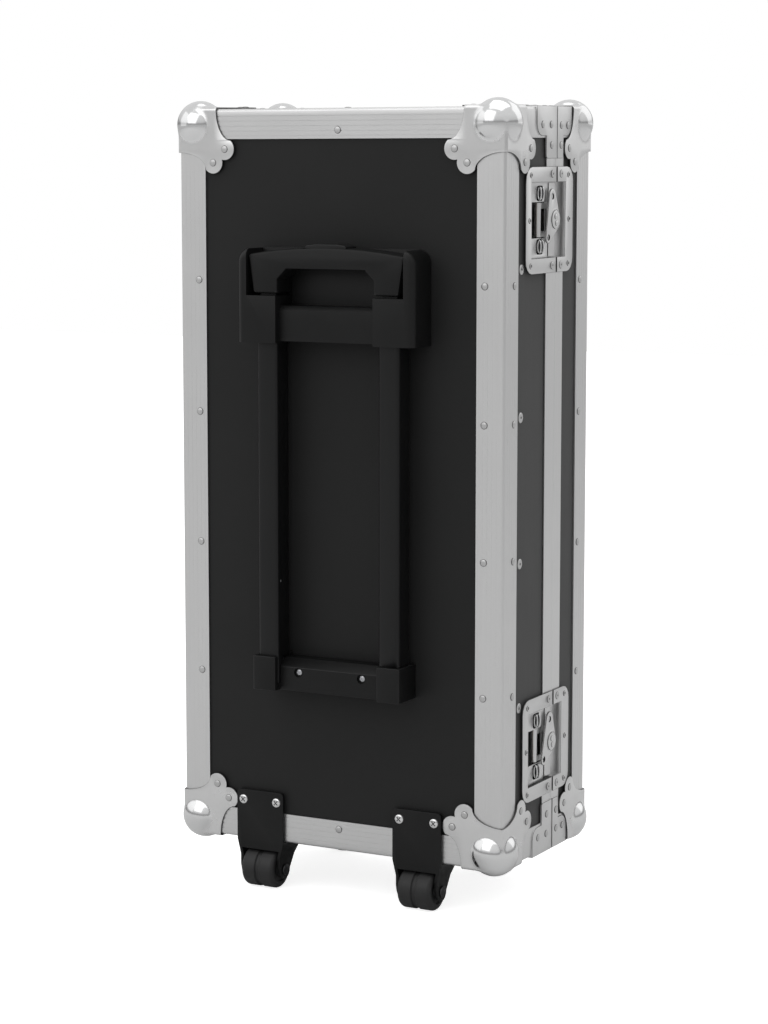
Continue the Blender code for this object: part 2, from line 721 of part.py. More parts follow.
def latch_tab(z, sign, seam):
    """A tab beside the window: one slanted edge, and a slot over the spring's coil."""
    far = seam - RECESS_BASE
    edge = z + sign * (RECESS_HEIGHT + LATCH_SHEET) / 2
    inner = z + sign * TAB_INNER
    wall = far - LATCH_SHEET / 2
    outline = [(wall, edge), (wall, z + sign * TAB_BEND), (far + TAB_TAPER, inner),
               (seam - TAB_REACH, inner), (seam - TAB_REACH, edge)]
    depth = (HALF_WIDTH - TAB_DEPTH - LATCH_SHEET, HALF_WIDTH - TAB_DEPTH)
    tab = prism("tab", outline, "X", *depth)
    middle = seam - PIN_FROM_SEAM - SLOT_SHIFT
    v0, v1 = sorted((inner + sign * LATCH_SHEET, z + sign * SLOT_END))
    slot = rounded_box_outline(middle - SLOT_HALF, v0, middle + SLOT_HALF, v1, SLOT_RADIUS)
    slit = prism("slit", slot, "X", HALF_WIDTH - PIN_DEPTH, HALF_WIDTH)
    return combine(tab, [slit], "DIFFERENCE")


def make_dish(name, z):
    """Base half of a latch: flange, recess, two slotted tabs and the hinge pin."""
    half = RECESS_HEIGHT / 2
    seam = BASE_SEAM - HALF_GAP
    far = seam - RECESS_BASE
    floor = HALF_WIDTH - RECESS_DEPTH
    dish = latch_flange(name, z, seam, -1, LATCH_BASE_WIDTH)
    x = (floor - LATCH_SHEET, HALF_WIDTH + GAP + LATCH_SHEET / 2)
    shell_z = (z - half - LATCH_SHEET, z + half + LATCH_SHEET)
    combine(dish, [box("shell", x, (far - LATCH_SHEET, seam), shell_z)], "UNION")
    x = (floor, HALF_WIDTH + LATCH_RADIUS)
    combine(dish, [box("hollow", x, (far, seam + LATCH_SHEET), (z - half, z + half))], "DIFFERENCE")
    additions = [latch_tab(z, sign, seam) for sign in (-1, 1)]
    reach = half + LATCH_SHEET / 2
    pin = (HALF_WIDTH - PIN_DEPTH, seam - PIN_FROM_SEAM)
    additions.append(cylinder("pin", "Z", pin, PIN_RADIUS, z - reach, z + reach, 12))
    return settle(combine(dish, additions, "UNION"), "zinc")


def make_keeper(name, z):
    """Lid half of a latch: flange and a recess whose floor curves up, with the keeper lip."""
    half = RECESS_HEIGHT / 2
    seam = LID_SEAM + HALF_GAP
    far = seam + RECESS_LID
    floor = HALF_WIDTH - RECESS_DEPTH
    dish = latch_flange(name, z, seam, 1, LATCH_LID_WIDTH)
    shell = box("shell", (floor - LATCH_SHEET, HALF_WIDTH + GAP + LATCH_SHEET / 2),
                (seam, far + LATCH_SHEET), (z - half - LATCH_SHEET, z + half + LATCH_SHEET))
    combine(dish, [shell], "UNION")
    mouth = HALF_WIDTH + LATCH_RADIUS
    sweep = RECESS_LID * 0.6
    lip_top = floor + KEEPER_LIP
    outline = [(mouth, seam - LATCH_SHEET), (lip_top, seam - LATCH_SHEET)]
    outline += [(lip_top, seam + LATCH_SHEET), (floor, seam + LATCH_SHEET)]
    outline += arc((floor + sweep, far - sweep), sweep, 180, 90, 5) + [(mouth, far)]
    hollow = prism("hollow", outline, "Z", z - half, z + half)
    return settle(combine(dish, [hollow], "DIFFERENCE"), "zinc", "lid_pivot")


def make_carrier(name, z, pivot):
    """Swing plate: a barrel on the pin, two arms and a wide head with the hub's hole."""
    seam = BASE_SEAM - HALF_GAP
    pin_y = seam - PIN_FROM_SEAM
    pin_x = HALF_WIDTH - PIN_DEPTH
    face = HALF_WIDTH - CARRIER_DEPTH
    low, high = z - CARRIER_HALF, z + CARRIER_HALF
    sheet = (face - SHEET, face)
    through = (face - PANEL, face + PANEL)
    neck_end = seam - TAB_REACH
    plate = box(name, sheet, (pin_y, seam), (low, high))
    head_y = (neck_end + HEAD_PLAY, seam + CARRIER_REACH)
    head = box("head", sheet, head_y, (z - HEAD_HALF, z + HEAD_HALF))
    window = box("window", through, (pin_y, neck_end), (low + CARRIER_ARM, high - CARRIER_ARM))
    barrel = cylinder("barrel", "Z", (pin_x, pin_y), BARREL_RADIUS, low, high, 14)
    bore_radius = PIN_RADIUS + BORE_CLEARANCE
    bore = cylinder("bore", "Z", (pin_x, pin_y), bore_radius, low - SHEET, high + SHEET, 12)
    hub_spot = (seam - WING_FROM_SEAM, z)
    hole = cylinder("hole", "X", hub_spot, HUB_RADIUS + BORE_CLEARANCE, *through, 14)
    combine(plate, [head], "UNION")
    combine(plate, [window], "DIFFERENCE")
    combine(plate, [barrel], "UNION")
    return settle(combine(plate, [bore, hole], "DIFFERENCE"), "zinc", pivot)


def wing_outline(centre):
    """The butterfly: a rim round the boss, two round tips and a long, slightly bowed edge."""
    back = 180 - WING_TILT
    lean = math.degrees(math.acos((WING_RIM - WING_TIP) / WING_ARM))
    low, high = back + WING_SPREAD, back - WING_SPREAD
    half_back = WING_ARM * math.sin(math.radians(WING_SPREAD))
    middle = WING_ARM * math.cos(math.radians(WING_SPREAD))
    bow = math.degrees(math.asin(half_back / WING_BOW))
    bow_centre = polar(centre, middle - math.sqrt(WING_BOW ** 2 - half_back ** 2), back)
    outline = arc(centre, WING_RIM, low + lean - 360, high - lean, 5)
    outline += arc(polar(centre, WING_ARM, high), WING_TIP, high - lean, back - bow, 4)
    outline += arc(bow_centre, WING_BOW + WING_TIP, back - bow, back + bow, 3)[1:-1]
    return outline + arc(polar(centre, WING_ARM, low), WING_TIP, back + bow, low + lean, 4)


def make_butterfly(name, z, pivot):
    """Wings with a domed boss, a hub through the carrier and a crank pin."""
    centre = (BASE_SEAM - HALF_GAP - WING_FROM_SEAM, z)
    face = HALF_WIDTH + WING_FACE
    wings = prism(name, wing_outline(centre), "X", face - SHEET, face)
    spots = [polar(centre, WING_ARM, 180 - WING_TILT + sign * WING_SPREAD) for sign in (-1, 1)]
    through = (face - PANEL, face + PANEL)
    holes = [cylinder("hole", "X", spot, WING_HOLE_RADIUS, *through, 8) for spot in spots]
    combine(wings, holes, "DIFFERENCE")
    dome = [(0.0, face + DOME_HEIGHT)]
    dome += [(DOME_RADIUS * math.sin(a), face + DOME_HEIGHT * math.cos(a))
             for a in (math.radians(angle) for angle in (35, 65, 90))]
    under = HALF_WIDTH - CARRIER_DEPTH - SHEET
    dome += [(DOME_RADIUS, face - SHEET / 2), (HUB_RADIUS, face - SHEET / 2)]
    dome += [(HUB_RADIUS, under), (0.0, under)]
    hub = turned("hub", dome, "X", (0.0, *centre), 14)
    spot = (centre[0] - CRANK_BACK, z - CRANK_LOW)
    depth = (under - GAP - SHEET, under + SHEET)
    crank = cylinder("crank", "X", spot, CRANK_RADIUS, *depth, 10)
    return settle(combine(wings, [hub, crank], "UNION"), "zinc", pivot)


def make_hook(name, z, pivot):
    """Draw plate under the carrier: a cross slot for the crank pin, and the claw."""
    seam = BASE_SEAM - HALF_GAP
    top = HALF_WIDTH - CARRIER_DEPTH - SHEET - GAP
    crank_y = seam - WING_FROM_SEAM - CRANK_BACK
    play = CRANK_RADIUS + CRANK_PLAY
    tip = seam + HOOK_TIP
    width = (z - HOOK_HALF, z + HOOK_HALF)
    plate = box(name, (top - SHEET, top), (crank_y - play - 2 * SHEET, tip), width)
    claw_bottom = HALF_WIDTH - RECESS_DEPTH + KEEPER_LIP + GAP
    claw = box("claw", (claw_bottom, top), (tip - CLAW_LENGTH, tip), width)
    reach = CRANK_THROW + play
    slot_y = (crank_y - play, crank_y + play)
    slot = box("slot", (top - PANEL, top + PANEL), slot_y, (z - reach, z + reach))
    combine(plate, [claw], "UNION")
    return settle(combine(plate, [slot], "DIFFERENCE"), "zinc", pivot)


def spring_path(z):
    """Centre line of the double torsion spring: coil, bridge behind the barrel, coil."""
    pin = (HALF_WIDTH - PIN_DEPTH, BASE_SEAM - HALF_GAP - PIN_FROM_SEAM)
    steps = COIL_TURNS * COIL_POINTS
    half = []
    for i in range(steps + 1):
        angle = math.pi + 2 * math.pi * i / COIL_POINTS
        height = COIL_START - COIL_PITCH * i / COIL_POINTS
        x, y = pin[0] + COIL_RADIUS * math.cos(angle), pin[1] + COIL_RADIUS * math.sin(angle)
        half.append((x, y, height))
    other = [(x, y, -height) for x, y, height in reversed(half)]
    return [Vector((x, y, z + height)) for x, y, height in half + other]


def spring_self_gap(path):
    """Least gap between stretches of the wire that aren't neighbours, on points."""
    skip = COIL_POINTS // 2
    count = len(path)
    pairs = [(i, j) for i in range(count) for j in range(i + skip, count)]
    return min((path[i] - path[j]).length for i, j in pairs) - COIL_WIRE


def make_spring(name, z):
    """Double torsion spring on the latch's pin, one unbroken wire."""
    path = spring_path(z)
    curve = bpy.data.curves.new(name, "CURVE")
    curve.dimensions = "3D"
    curve.bevel_depth = COIL_WIRE / 2
    curve.bevel_resolution = 1
    curve.use_fill_caps = True
    spline = curve.splines.new("POLY")
    spline.points.add(len(path) - 1)
    for point, place in zip(spline.points, path):
        point.co = (*place, 1.0)
    print(f"{name}: least gap to itself {spring_self_gap(path) * 1000:.2f} mm")
    wire = bpy.data.objects.new("wire", curve)
    bpy.context.scene.collection.objects.link(wire)
    depsgraph = bpy.context.evaluated_depsgraph_get()
    mesh = bpy.data.meshes.new_from_object(wire.evaluated_get(depsgraph))
    bpy.data.objects.remove(wire, do_unlink=True)
    spring = bpy.data.objects.new(name, mesh)
    bpy.context.scene.collection.objects.link(spring)
    return settle(spring, "steel")


def make_latches():
    """Both butterfly latches."""
    for level, z in LATCH_LEVELS.items():
        make_dish(f"{level}_latch_dish", z)
        make_keeper(f"{level}_latch_keeper", z)
        make_carrier(f"{level}_latch_carrier", z, f"{level}_latch_pivot")
        make_butterfly(f"{level}_latch_butterfly", z, f"{level}_twist_pivot")
        make_hook(f"{level}_latch_hook", z, f"{level}_latch_pivot")
        make_spring(f"{level}_latch_spring", z)


# hinge


def hinge_leaf(name, seam, direction, first):
    """A leaf with every other knuckle; the base's leaf holds the pin, the lid's is bored."""
    face = -HALF_WIDTH - GAP
    axis = (-HALF_WIDTH - HINGE_AXIS_OUT, BASE_DEPTH)
    low, high = HINGE_END, CASE_HEIGHT - HINGE_END
    y = sorted((seam + direction * GAP, seam + direction * HINGE_LEAF))
    leaf = box(name, (face - HINGE_SHEET, face), y, (low, high))
    pitch = (high - low) / HINGE_KNUCKLES
    knuckles = []
    reliefs = []
    for i in range(HINGE_KNUCKLES):
        z0 = low + pitch * i
        if i % 2 == first:
            span = (z0 + KNUCKLE_GAP, z0 + pitch - KNUCKLE_GAP)
            knuckles.append(cylinder("knuckle", "Z", axis, HINGE_RADIUS, *span, 8))
        else:
            room = HINGE_RADIUS + GAP
            spans = ((axis[0] - room, face + GAP), (axis[1] - room, axis[1] + room))
            reliefs.append(box("relief", *spans, (z0 - KNUCKLE_GAP / 2, z0 + pitch + KNUCKLE_GAP / 2)))
    combine(leaf, reliefs, "DIFFERENCE")
    bore = None
    if first == 0:
        span = (low + KNUCKLE_GAP, high - KNUCKLE_GAP)
        knuckles.append(cylinder("pin", "Z", axis, HINGE_PIN_RADIUS, *span, 8))
    else:
        radius = HINGE_PIN_RADIUS + BORE_CLEARANCE
        bore = cylinder("bore", "Z", axis, radius, low - GAP, high + GAP, 8)
    combine(leaf, knuckles, "UNION")
    if bore:
        combine(leaf, [bore], "DIFFERENCE")
    return settle(leaf, "zinc", "case" if first == 0 else "lid_pivot")


def make_hinge():
    """The piano hinge's two leaves."""
    hinge_leaf("hinge_leaf_base", BASE_SEAM, -1, 0)
    hinge_leaf("hinge_leaf_lid", LID_SEAM, 1, 1)


# trolley handle


def tube_centre(side):
    """x of one tube's axis."""
    return HANDLE_X + side * TUBE_SPACING / 2


def tube_block(name, side, width, depth, z, radius=0.0):
    """A straight block on a tube's axis."""
    x, y = tube_centre(side), -TUBE_CENTRE
    u0, u1, v0, v1 = x - width / 2, x + width / 2, y - depth / 2, y + depth / 2
    if radius:
        return prism(name, rounded_box_outline(u0, v0, u1, v1, radius), "Z", *z)
    return box(name, (u0, u1), (v0, v1), z)


def make_housing():
    """Upper housing: back plate, ears beside the grip, shoulders with tube sockets, bridge."""
    seat = HOUSING_SEAT
    turn = EAR_RADIUS
    x0, x1 = HANDLE_X - HOUSING_HALF, HANDLE_X + HOUSING_HALF
    outline = arc((x1 - turn, HOUSING_TOP - turn), turn, 0, 90, 4)
    outline += arc((x0 + turn, HOUSING_TOP - turn), turn, 90, 180, 4)
    outline += [(x0, HOUSING_BOTTOM), (x1, HOUSING_BOTTOM)]
    housing = prism("handle_housing", outline, "Y", -HOUSING_PROUD, seat)
    inner = HOUSING_HALF - EAR
    front, back = -HOUSING_PROUD - GAP, -HOUSING_BACK
    z = (SHOULDER_TOP, HOUSING_TOP + GAP)
    grip_room = box("grip_room", (HANDLE_X - inner, HANDLE_X + inner), (front, back), z)
    bridge_side = [
        (front, HOUSING_BOTTOM - GAP), (back, HOUSING_BOTTOM - GAP), (back, BRIDGE_BOTTOM),
        (-BRIDGE_PROUD, BRIDGE_BOTTOM), (-BRIDGE_PROUD, BRIDGE_TOP - BRIDGE_CHAMFER),
        (-BRIDGE_PROUD + BRIDGE_CHAMFER, BRIDGE_TOP), (back, BRIDGE_TOP),
        (back, SHOULDER_TOP + GAP), (front, SHOULDER_TOP + GAP)]
    half = SHOULDER_HALF
    middle = prism("middle", bridge_side, "X", HANDLE_X - half, HANDLE_X + half)
    cutters = [grip_room, middle]
    pocket = (TUBE_WIDTH + 2 * GAP, TUBE_DEPTH + 2 * GAP)
    pocket_z = (HOUSING_BOTTOM - GAP, OUTER_TUBE_TOP + GAP)
    throat = (TUBE_WIDTH - 2 * TUBE_WALL, TUBE_DEPTH - 2 * TUBE_WALL)
    throat_z = (OUTER_TUBE_TOP, SHOULDER_TOP + GAP)
    for side in SIDES.values():
        cutters.append(tube_block("pocket", side, *pocket, pocket_z, TUBE_RADIUS))
        cutters.append(tube_block("throat", side, *throat, throat_z, TUBE_RADIUS - TUBE_WALL))
    return settle(combine(housing, cutters, "DIFFERENCE"), "black_plastic")


def make_lower_bracket():
    """Lower bracket: two bosses that hold the tubes, and a lower bridge with a sloped top."""
    seat = HOUSING_SEAT
    parts = []
    for side in SIDES.values():
        outer = HANDLE_X + side * FOOT_HALF
        inner = HANDLE_X + side * (FOOT_HALF - FOOT_BOSS)
        u0, u1 = sorted((outer, inner))
        outline = rounded_box_outline(u0, -FOOT_PROUD, u1, seat + 2 * GAP, 0.002, 2)
        boss = prism("boss", outline, "Z", FOOT_BOTTOM, FOOT_TOP)
        z = (FOOT_BOTTOM - GAP, FOOT_TOP + GAP)
        trim = box("trim", (u0 - GAP, u1 + GAP), (seat, seat + BRACKET_SHEET), z)
        parts.append(combine(boss, [trim], "DIFFERENCE"))
    slope = (FOOT_BRIDGE_PROUD - FOOT_BRIDGE_LEDGE) * FOOT_BRIDGE_SLOPE
    ledge = [(seat, FOOT_BOTTOM), (seat, FOOT_BRIDGE_TOP), (-FOOT_BRIDGE_LEDGE, FOOT_BRIDGE_TOP),
             (-FOOT_BRIDGE_PROUD, FOOT_BRIDGE_TOP - slope), (-FOOT_BRIDGE_PROUD, FOOT_BOTTOM)]
    half = FOOT_HALF - FOOT_BOSS + FOOT_EDGE
    bracket = prism("handle_lower_bracket", ledge, "X", HANDLE_X - half, HANDLE_X + half)
    combine(bracket, parts, "UNION")
    pocket = (TUBE_WIDTH + 2 * GAP, TUBE_DEPTH + 2 * GAP)
    pocket_z = (FOOT_BOTTOM + FOOT_FLOOR, FOOT_TOP + GAP)
    pockets = [tube_block("pocket", side, *pocket, pocket_z, TUBE_RADIUS)
               for side in SIDES.values()]
    return settle(combine(bracket, pockets, "DIFFERENCE"), "black_plastic")


def lock_hole(side, play):
    """Cutter for a lock pin's hole through a tube's wall, towards the middle."""
    x = tube_centre(side)
    ends = sorted((x, x - side * TUBE_WIDTH))
    return cylinder("lock_hole", "X", (-TUBE_CENTRE, LOCK_PIN_Z), LOCK_PIN_RADIUS + play, *ends, 12)


def make_tubes():
    """Outer and inner tube on each side."""
    bore_width, bore_depth = TUBE_WIDTH - 2 * TUBE_WALL, TUBE_DEPTH - 2 * TUBE_WALL
    inner_width, inner_depth = bore_width - 2 * SLIDE_GAP, bore_depth - 2 * SLIDE_GAP
    room_width, room_depth = inner_width - 2 * INNER_WALL, inner_depth - 2 * INNER_WALL
    for name, side in SIDES.items():
        span = (FOOT_BOTTOM + FOOT_FLOOR + GAP, OUTER_TUBE_TOP)
        outer = tube_block(f"outer_tube_{name}", side, TUBE_WIDTH, TUBE_DEPTH, span, TUBE_RADIUS)
        room = (span[0] - GAP, span[1] + GAP)
        bore = tube_block("bore", side, bore_width, bore_depth, room, TUBE_RADIUS - TUBE_WALL)
        combine(outer, [bore, lock_hole(side, LOCK_HOLE_PLAY)], "DIFFERENCE")
        settle(outer, "black_tube")
        span = (INNER_TUBE_BOTTOM, SOCKET_TOP - GAP)
        radius = TUBE_RADIUS - TUBE_WALL - SLIDE_GAP / 2
        inner = tube_block(f"inner_tube_{name}", side, inner_width, inner_depth, span, radius)
        room = (span[0] - GAP, span[1] + GAP)
        bore = tube_block("bore", side, room_width, room_depth, room, radius - INNER_WALL / 2)
        combine(inner, [bore, lock_hole(side, LOCK_HOLE_PLAY)], "DIFFERENCE")
        settle(inner, "black_tube", "handle_slide")


def grip_outline():
    """The grip seen from the front: an arched top and two legs that taper down."""
    rise = GRIP_CROWN - GRIP_SHOULDER
    radius = (GRIP_HALF_TOP ** 2 + rise ** 2) / (2 * rise)
    sweep = math.degrees(math.asin(GRIP_HALF_TOP / radius))
    outline = arc((HANDLE_X, GRIP_CROWN - radius), radius, 90 - sweep, 90 + sweep, 12)
    half = FINGER_HALF
    left = [(HANDLE_X - GRIP_HALF_BOTTOM, GRIP_BOTTOM), (HANDLE_X - half, GRIP_BOTTOM),
            (HANDLE_X - half, FINGER_TOP - FINGER_CHAMFER),
            (HANDLE_X - half + FINGER_CHAMFER, FINGER_TOP)]
    right = [(2 * HANDLE_X - u, v) for u, v in reversed(left)]
    return outline + left + right


def make_grip():
    """Hand grip with rounded edges, tube sockets, and room for the button and the yoke."""
    outline = grip_outline()
    grip = prism("grip", outline, "Y", -GRIP_FRONT, -GRIP_BACK)
    bevel = grip.modifiers.new("round edges", "BEVEL")
    bevel.width = GRIP_ROUND
    bevel.segments = 2
    bevel.limit_method = "ANGLE"
    bevel.angle_limit = math.radians(60)
    bake(grip)
    inner_width = TUBE_WIDTH - 2 * TUBE_WALL - 2 * SLIDE_GAP + 2 * GAP
    inner_depth = TUBE_DEPTH - 2 * TUBE_WALL - 2 * SLIDE_GAP + 2 * GAP
    room = YOKE_SIDE + 2 * YOKE_ROOM
    yoke_top = BUTTON_BOTTOM - GAP
    yoke_low = yoke_top - YOKE_BAR - BUTTON_TRAVEL - GAP
    socket_z = (GRIP_BOTTOM - GAP, SOCKET_TOP)
    well_z = (SOCKET_TOP - GAP, yoke_top + GAP)
    cutters = []
    for side in SIDES.values():
        cutters.append(tube_block("socket", side, inner_width, inner_depth, socket_z))
        cutters.append(tube_block("well", side, room, room, well_z))
    reach = TUBE_SPACING / 2 + room / 2
    x = (HANDLE_X - reach, HANDLE_X + reach)
    y = (-TUBE_CENTRE - room / 2, -TUBE_CENTRE + room / 2)
    cutters.append(box("yoke_room", x, y, (yoke_low, yoke_top + GAP)))
    half = BUTTON_HALF + BUTTON_PLAY
    depth = BUTTON_DEPTH / 2 + BUTTON_PLAY
    x = (HANDLE_X - half, HANDLE_X + half)
    y = (-BUTTON_CENTRE - depth, -BUTTON_CENTRE + depth)
    z = (BUTTON_BOTTOM - BUTTON_TRAVEL - GAP, GRIP_CROWN + BUTTON_PROUD)
    cutters.append(box("button_room", x, y, z))
    return settle(combine(grip, cutters, "DIFFERENCE"), "black_plastic", "handle_slide")


def make_button():
    """Release button in the crown of the grip, slightly arched on top."""
    top = GRIP_CROWN + BUTTON_PROUD
    drop = 0.0012
    left, right = HANDLE_X - BUTTON_HALF, HANDLE_X + BUTTON_HALF
    outline = [(left, BUTTON_BOTTOM), (right, BUTTON_BOTTOM), (right, top - 2 * drop),
               (right - drop, top - drop), (right - BUTTON_HALF / 2, top),
               (left + BUTTON_HALF / 2, top), (left + drop, top - drop), (left, top - 2 * drop)]
    low, high = -BUTTON_CENTRE - BUTTON_DEPTH / 2, -BUTTON_CENTRE + BUTTON_DEPTH / 2
    button = prism("release_button", outline, "Y", low, high)
    return settle(button, "black_plastic", "button_slide")


def make_yoke():
    """Cross bar under the button with a push rod down each inner tube."""
    top = BUTTON_BOTTOM - GAP
    half = YOKE_SIDE / 2
    reach = TUBE_SPACING / 2 + half
    x = (HANDLE_X - reach, HANDLE_X + reach)
    y = (-TUBE_CENTRE - half, -TUBE_CENTRE + half)
    bar = box("lock_yoke", x, y, (top - YOKE_BAR, top))
    rod_z = (ROD_END, top - YOKE_BAR / 2)
    rods = [tube_block("rod", side, YOKE_SIDE, YOKE_SIDE, rod_z) for side in SIDES.values()]
    return settle(combine(bar, rods, "UNION"), "steel", "button_slide")


def make_lock_pins():
    """A pin in each inner tube's foot that locks into the outer tube's hole."""
    for name, side in SIDES.items():
        x = tube_centre(side)
        nose = x - side * (TUBE_WIDTH / 2 - TUBE_WALL - SLIDE_GAP + GAP)
        ends = sorted((nose, nose + side * LOCK_PIN_LENGTH))
        pin = cylinder(f"lock_pin_{name}", "X", (-TUBE_CENTRE, LOCK_PIN_Z), LOCK_PIN_RADIUS, *ends, 12)
        settle(pin, "steel", "handle_slide")


def make_handle():
    """The whole trolley handle."""
    make_housing()
    make_lower_bracket()
    make_tubes()
    make_grip()
    make_button()
    make_yoke()
    make_lock_pins()


# wheels and feet


def make_cheek(x, side):
    """A bracket cheek: slanted inwards under the case, then straight down to its nose."""
    axle = (WHEEL_Y, WHEEL_RADIUS - CASE_LIFT)
    front = -GAP - BRACKET_SHEET
    bend = -BRACKET_TAPER_DROP
    slant = (BRACKET_REACH - WHEEL_Y - CHEEK_NOSE) / (-GAP - axle[1])
    rear = BRACKET_REACH + (bend + GAP) * slant
    wide = x + side * BRACKET_HALF
    narrow = wide - side * BRACKET_TAPER
    upper = [[(wide - side * t, front, -GAP), (wide - side * t, BRACKET_REACH, -GAP),
              (narrow - side * t, rear, bend), (narrow - side * t, front, bend)]
             for t in (0.0, CHEEK)]
    cheek = loft("cheek", upper)
    outline = [(front, bend + GAP), (front, axle[1] + CHEEK_NOSE / 3)]
    outline += arc(axle, CHEEK_NOSE, 200, 360, 7) + [(rear, bend), (rear, bend + GAP)]
    lower = prism("lower", outline, "X", *sorted((narrow - side * CHEEK, narrow)))
    return combine(cheek, [lower], "UNION")


def make_wheel_bracket(name, x):
    """Front plate, top web and two cheeks that carry the axle."""
    low, high = x - BRACKET_HALF, x + BRACKET_HALF
    turn = 0.004
    drop = BRACKET_DROP
    taper = BRACKET_TAPER * drop / BRACKET_TAPER_DROP
    face = [(low, 0.0), (low + taper, -drop), (high - taper, -drop), (high, 0.0)]
    face += arc((high - turn, BRACKET_TOP - turn), turn, 0, 90, 3)
    face += arc((low + turn, BRACKET_TOP - turn), turn, 90, 180, 3)
    bracket = prism(name, face, "Y", -GAP - BRACKET_SHEET, -GAP)
    y = (-GAP - BRACKET_SHEET / 2, BRACKET_REACH)
    web = box("web", (low, high), y, (-GAP - BRACKET_SHEET, -GAP))
    combine(bracket, [web] + [make_cheek(x, side) for side in SIDES.values()], "UNION")
    axle = (WHEEL_Y, WHEEL_RADIUS - CASE_LIFT)
    hole = cylinder("hole", "X", axle, AXLE_RADIUS + BORE_CLEARANCE, low - GAP, high + GAP, 16)
    return settle(combine(bracket, [hole], "DIFFERENCE"), "black_plastic")


def make_wheel(name, x, pivot):
    """Wheel with a round shoulder at each side and a groove in the middle of its tread."""
    half = WHEEL_WIDTH / 2
    turn = WHEEL_ROUND
    bore = AXLE_RADIUS + BORE_CLEARANCE
    groove = WHEEL_GROOVE_WIDTH / 2
    floor = WHEEL_RADIUS - WHEEL_GROOVE
    dish = half - WHEEL_DISH
    profile = [(floor, 0.0), (floor, groove / 2), (WHEEL_RADIUS, groove)]
    profile += arc((WHEEL_RADIUS - turn, half - turn), turn, 0, 90, 3)
    profile += [(WHEEL_RADIUS * 0.62, half), (WHEEL_RADIUS * 0.56, dish), (bore * 1.6, dish)]
    profile += [(bore * 1.5, half), (bore, half)]
    whole = [(r, -h) for r, h in reversed(profile)][:-1] + profile
    centre = (x, WHEEL_Y, WHEEL_RADIUS - CASE_LIFT)
    wheel = turned(name, whole, "X", centre, 20, ring=True)
    return settle(wheel, "wheel_rubber", pivot)


def make_axle(name, x):
    """Axle with a flat round head outside each cheek."""
    reach = BRACKET_HALF - BRACKET_TAPER + GAP
    end = reach + AXLE_HEAD_SHEET
    profile = [(0.0, -end), (AXLE_HEAD, -end), (AXLE_HEAD, -reach), (AXLE_RADIUS, -reach),
               (AXLE_RADIUS, reach), (AXLE_HEAD, reach), (AXLE_HEAD, end), (0.0, end)]
    centre = (x, WHEEL_Y, WHEEL_RADIUS - CASE_LIFT)
    return settle(turned(name, profile, "X", centre, 16), "steel")


def make_running_gear():
    """Wheels at the front edge and standing feet under the lid."""
    for name, side in SIDES.items():
        make_wheel_bracket(f"wheel_bracket_{name}", side * WHEEL_X)
        make_wheel(f"wheel_{name}", side * WHEEL_X, f"{name}_wheel_pivot")
        make_axle(f"axle_{name}", side * WHEEL_X)
        profile = [(0.0, -GAP), (FOOT_TOP_RADIUS, -GAP), (FOOT_LOW_RADIUS, -CASE_LIFT + FOOT_EDGE),
                   (FOOT_LOW_RADIUS - FOOT_EDGE, -CASE_LIFT), (0.0, -CASE_LIFT)]
        centre = (side * FOOT_X, CASE_DEPTH - FOOT_FROM_REAR, 0.0)
        foot = turned(f"rear_foot_{name}", profile, "Z", centre, 20)
        settle(foot, "black_plastic", "lid_pivot")


# inside


def make_interior():
    """Inner floor board and the divider between two rows of discs."""
    reach = HALF_WIDTH - INNER_SIDE - GAP
    z = (INNER_SIDE + GAP, CASE_HEIGHT - INNER_SIDE - GAP)
    back = FLOOR_Y + PANEL / 2
    settle(box("inner_floor", (-reach, reach), (FLOOR_Y - PANEL / 2, back), z), "board")
    y = (back + GAP, BASE_SEAM - CLOSURE_INNER - GAP)
    divider = box("divider", (-DIVIDER / 2, DIVIDER / 2), y, z)
    settle(divider, "board")


def main():
    """Build every piece of the case."""
    clear_scene()
    add_pivots()
    make_panels()
    edge_profiles("base", False)
    edge_profiles("lid", True)
    make_closures()
    make_ball_corners()
    make_latches()
    make_hinge()
    make_handle()
    make_running_gear()
    make_interior()


main()
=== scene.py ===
"""Looks of the trolley flight case: finishes, rivets, smooth corners, grip and wheels.

Everything is in metres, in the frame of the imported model: +Z is up, the face with the
trolley handle looks along -Y, the latches are on +X and the lid is the rear part.
"""
import json
import math

import bmesh
import bpy
from mathutils import Matrix, Vector

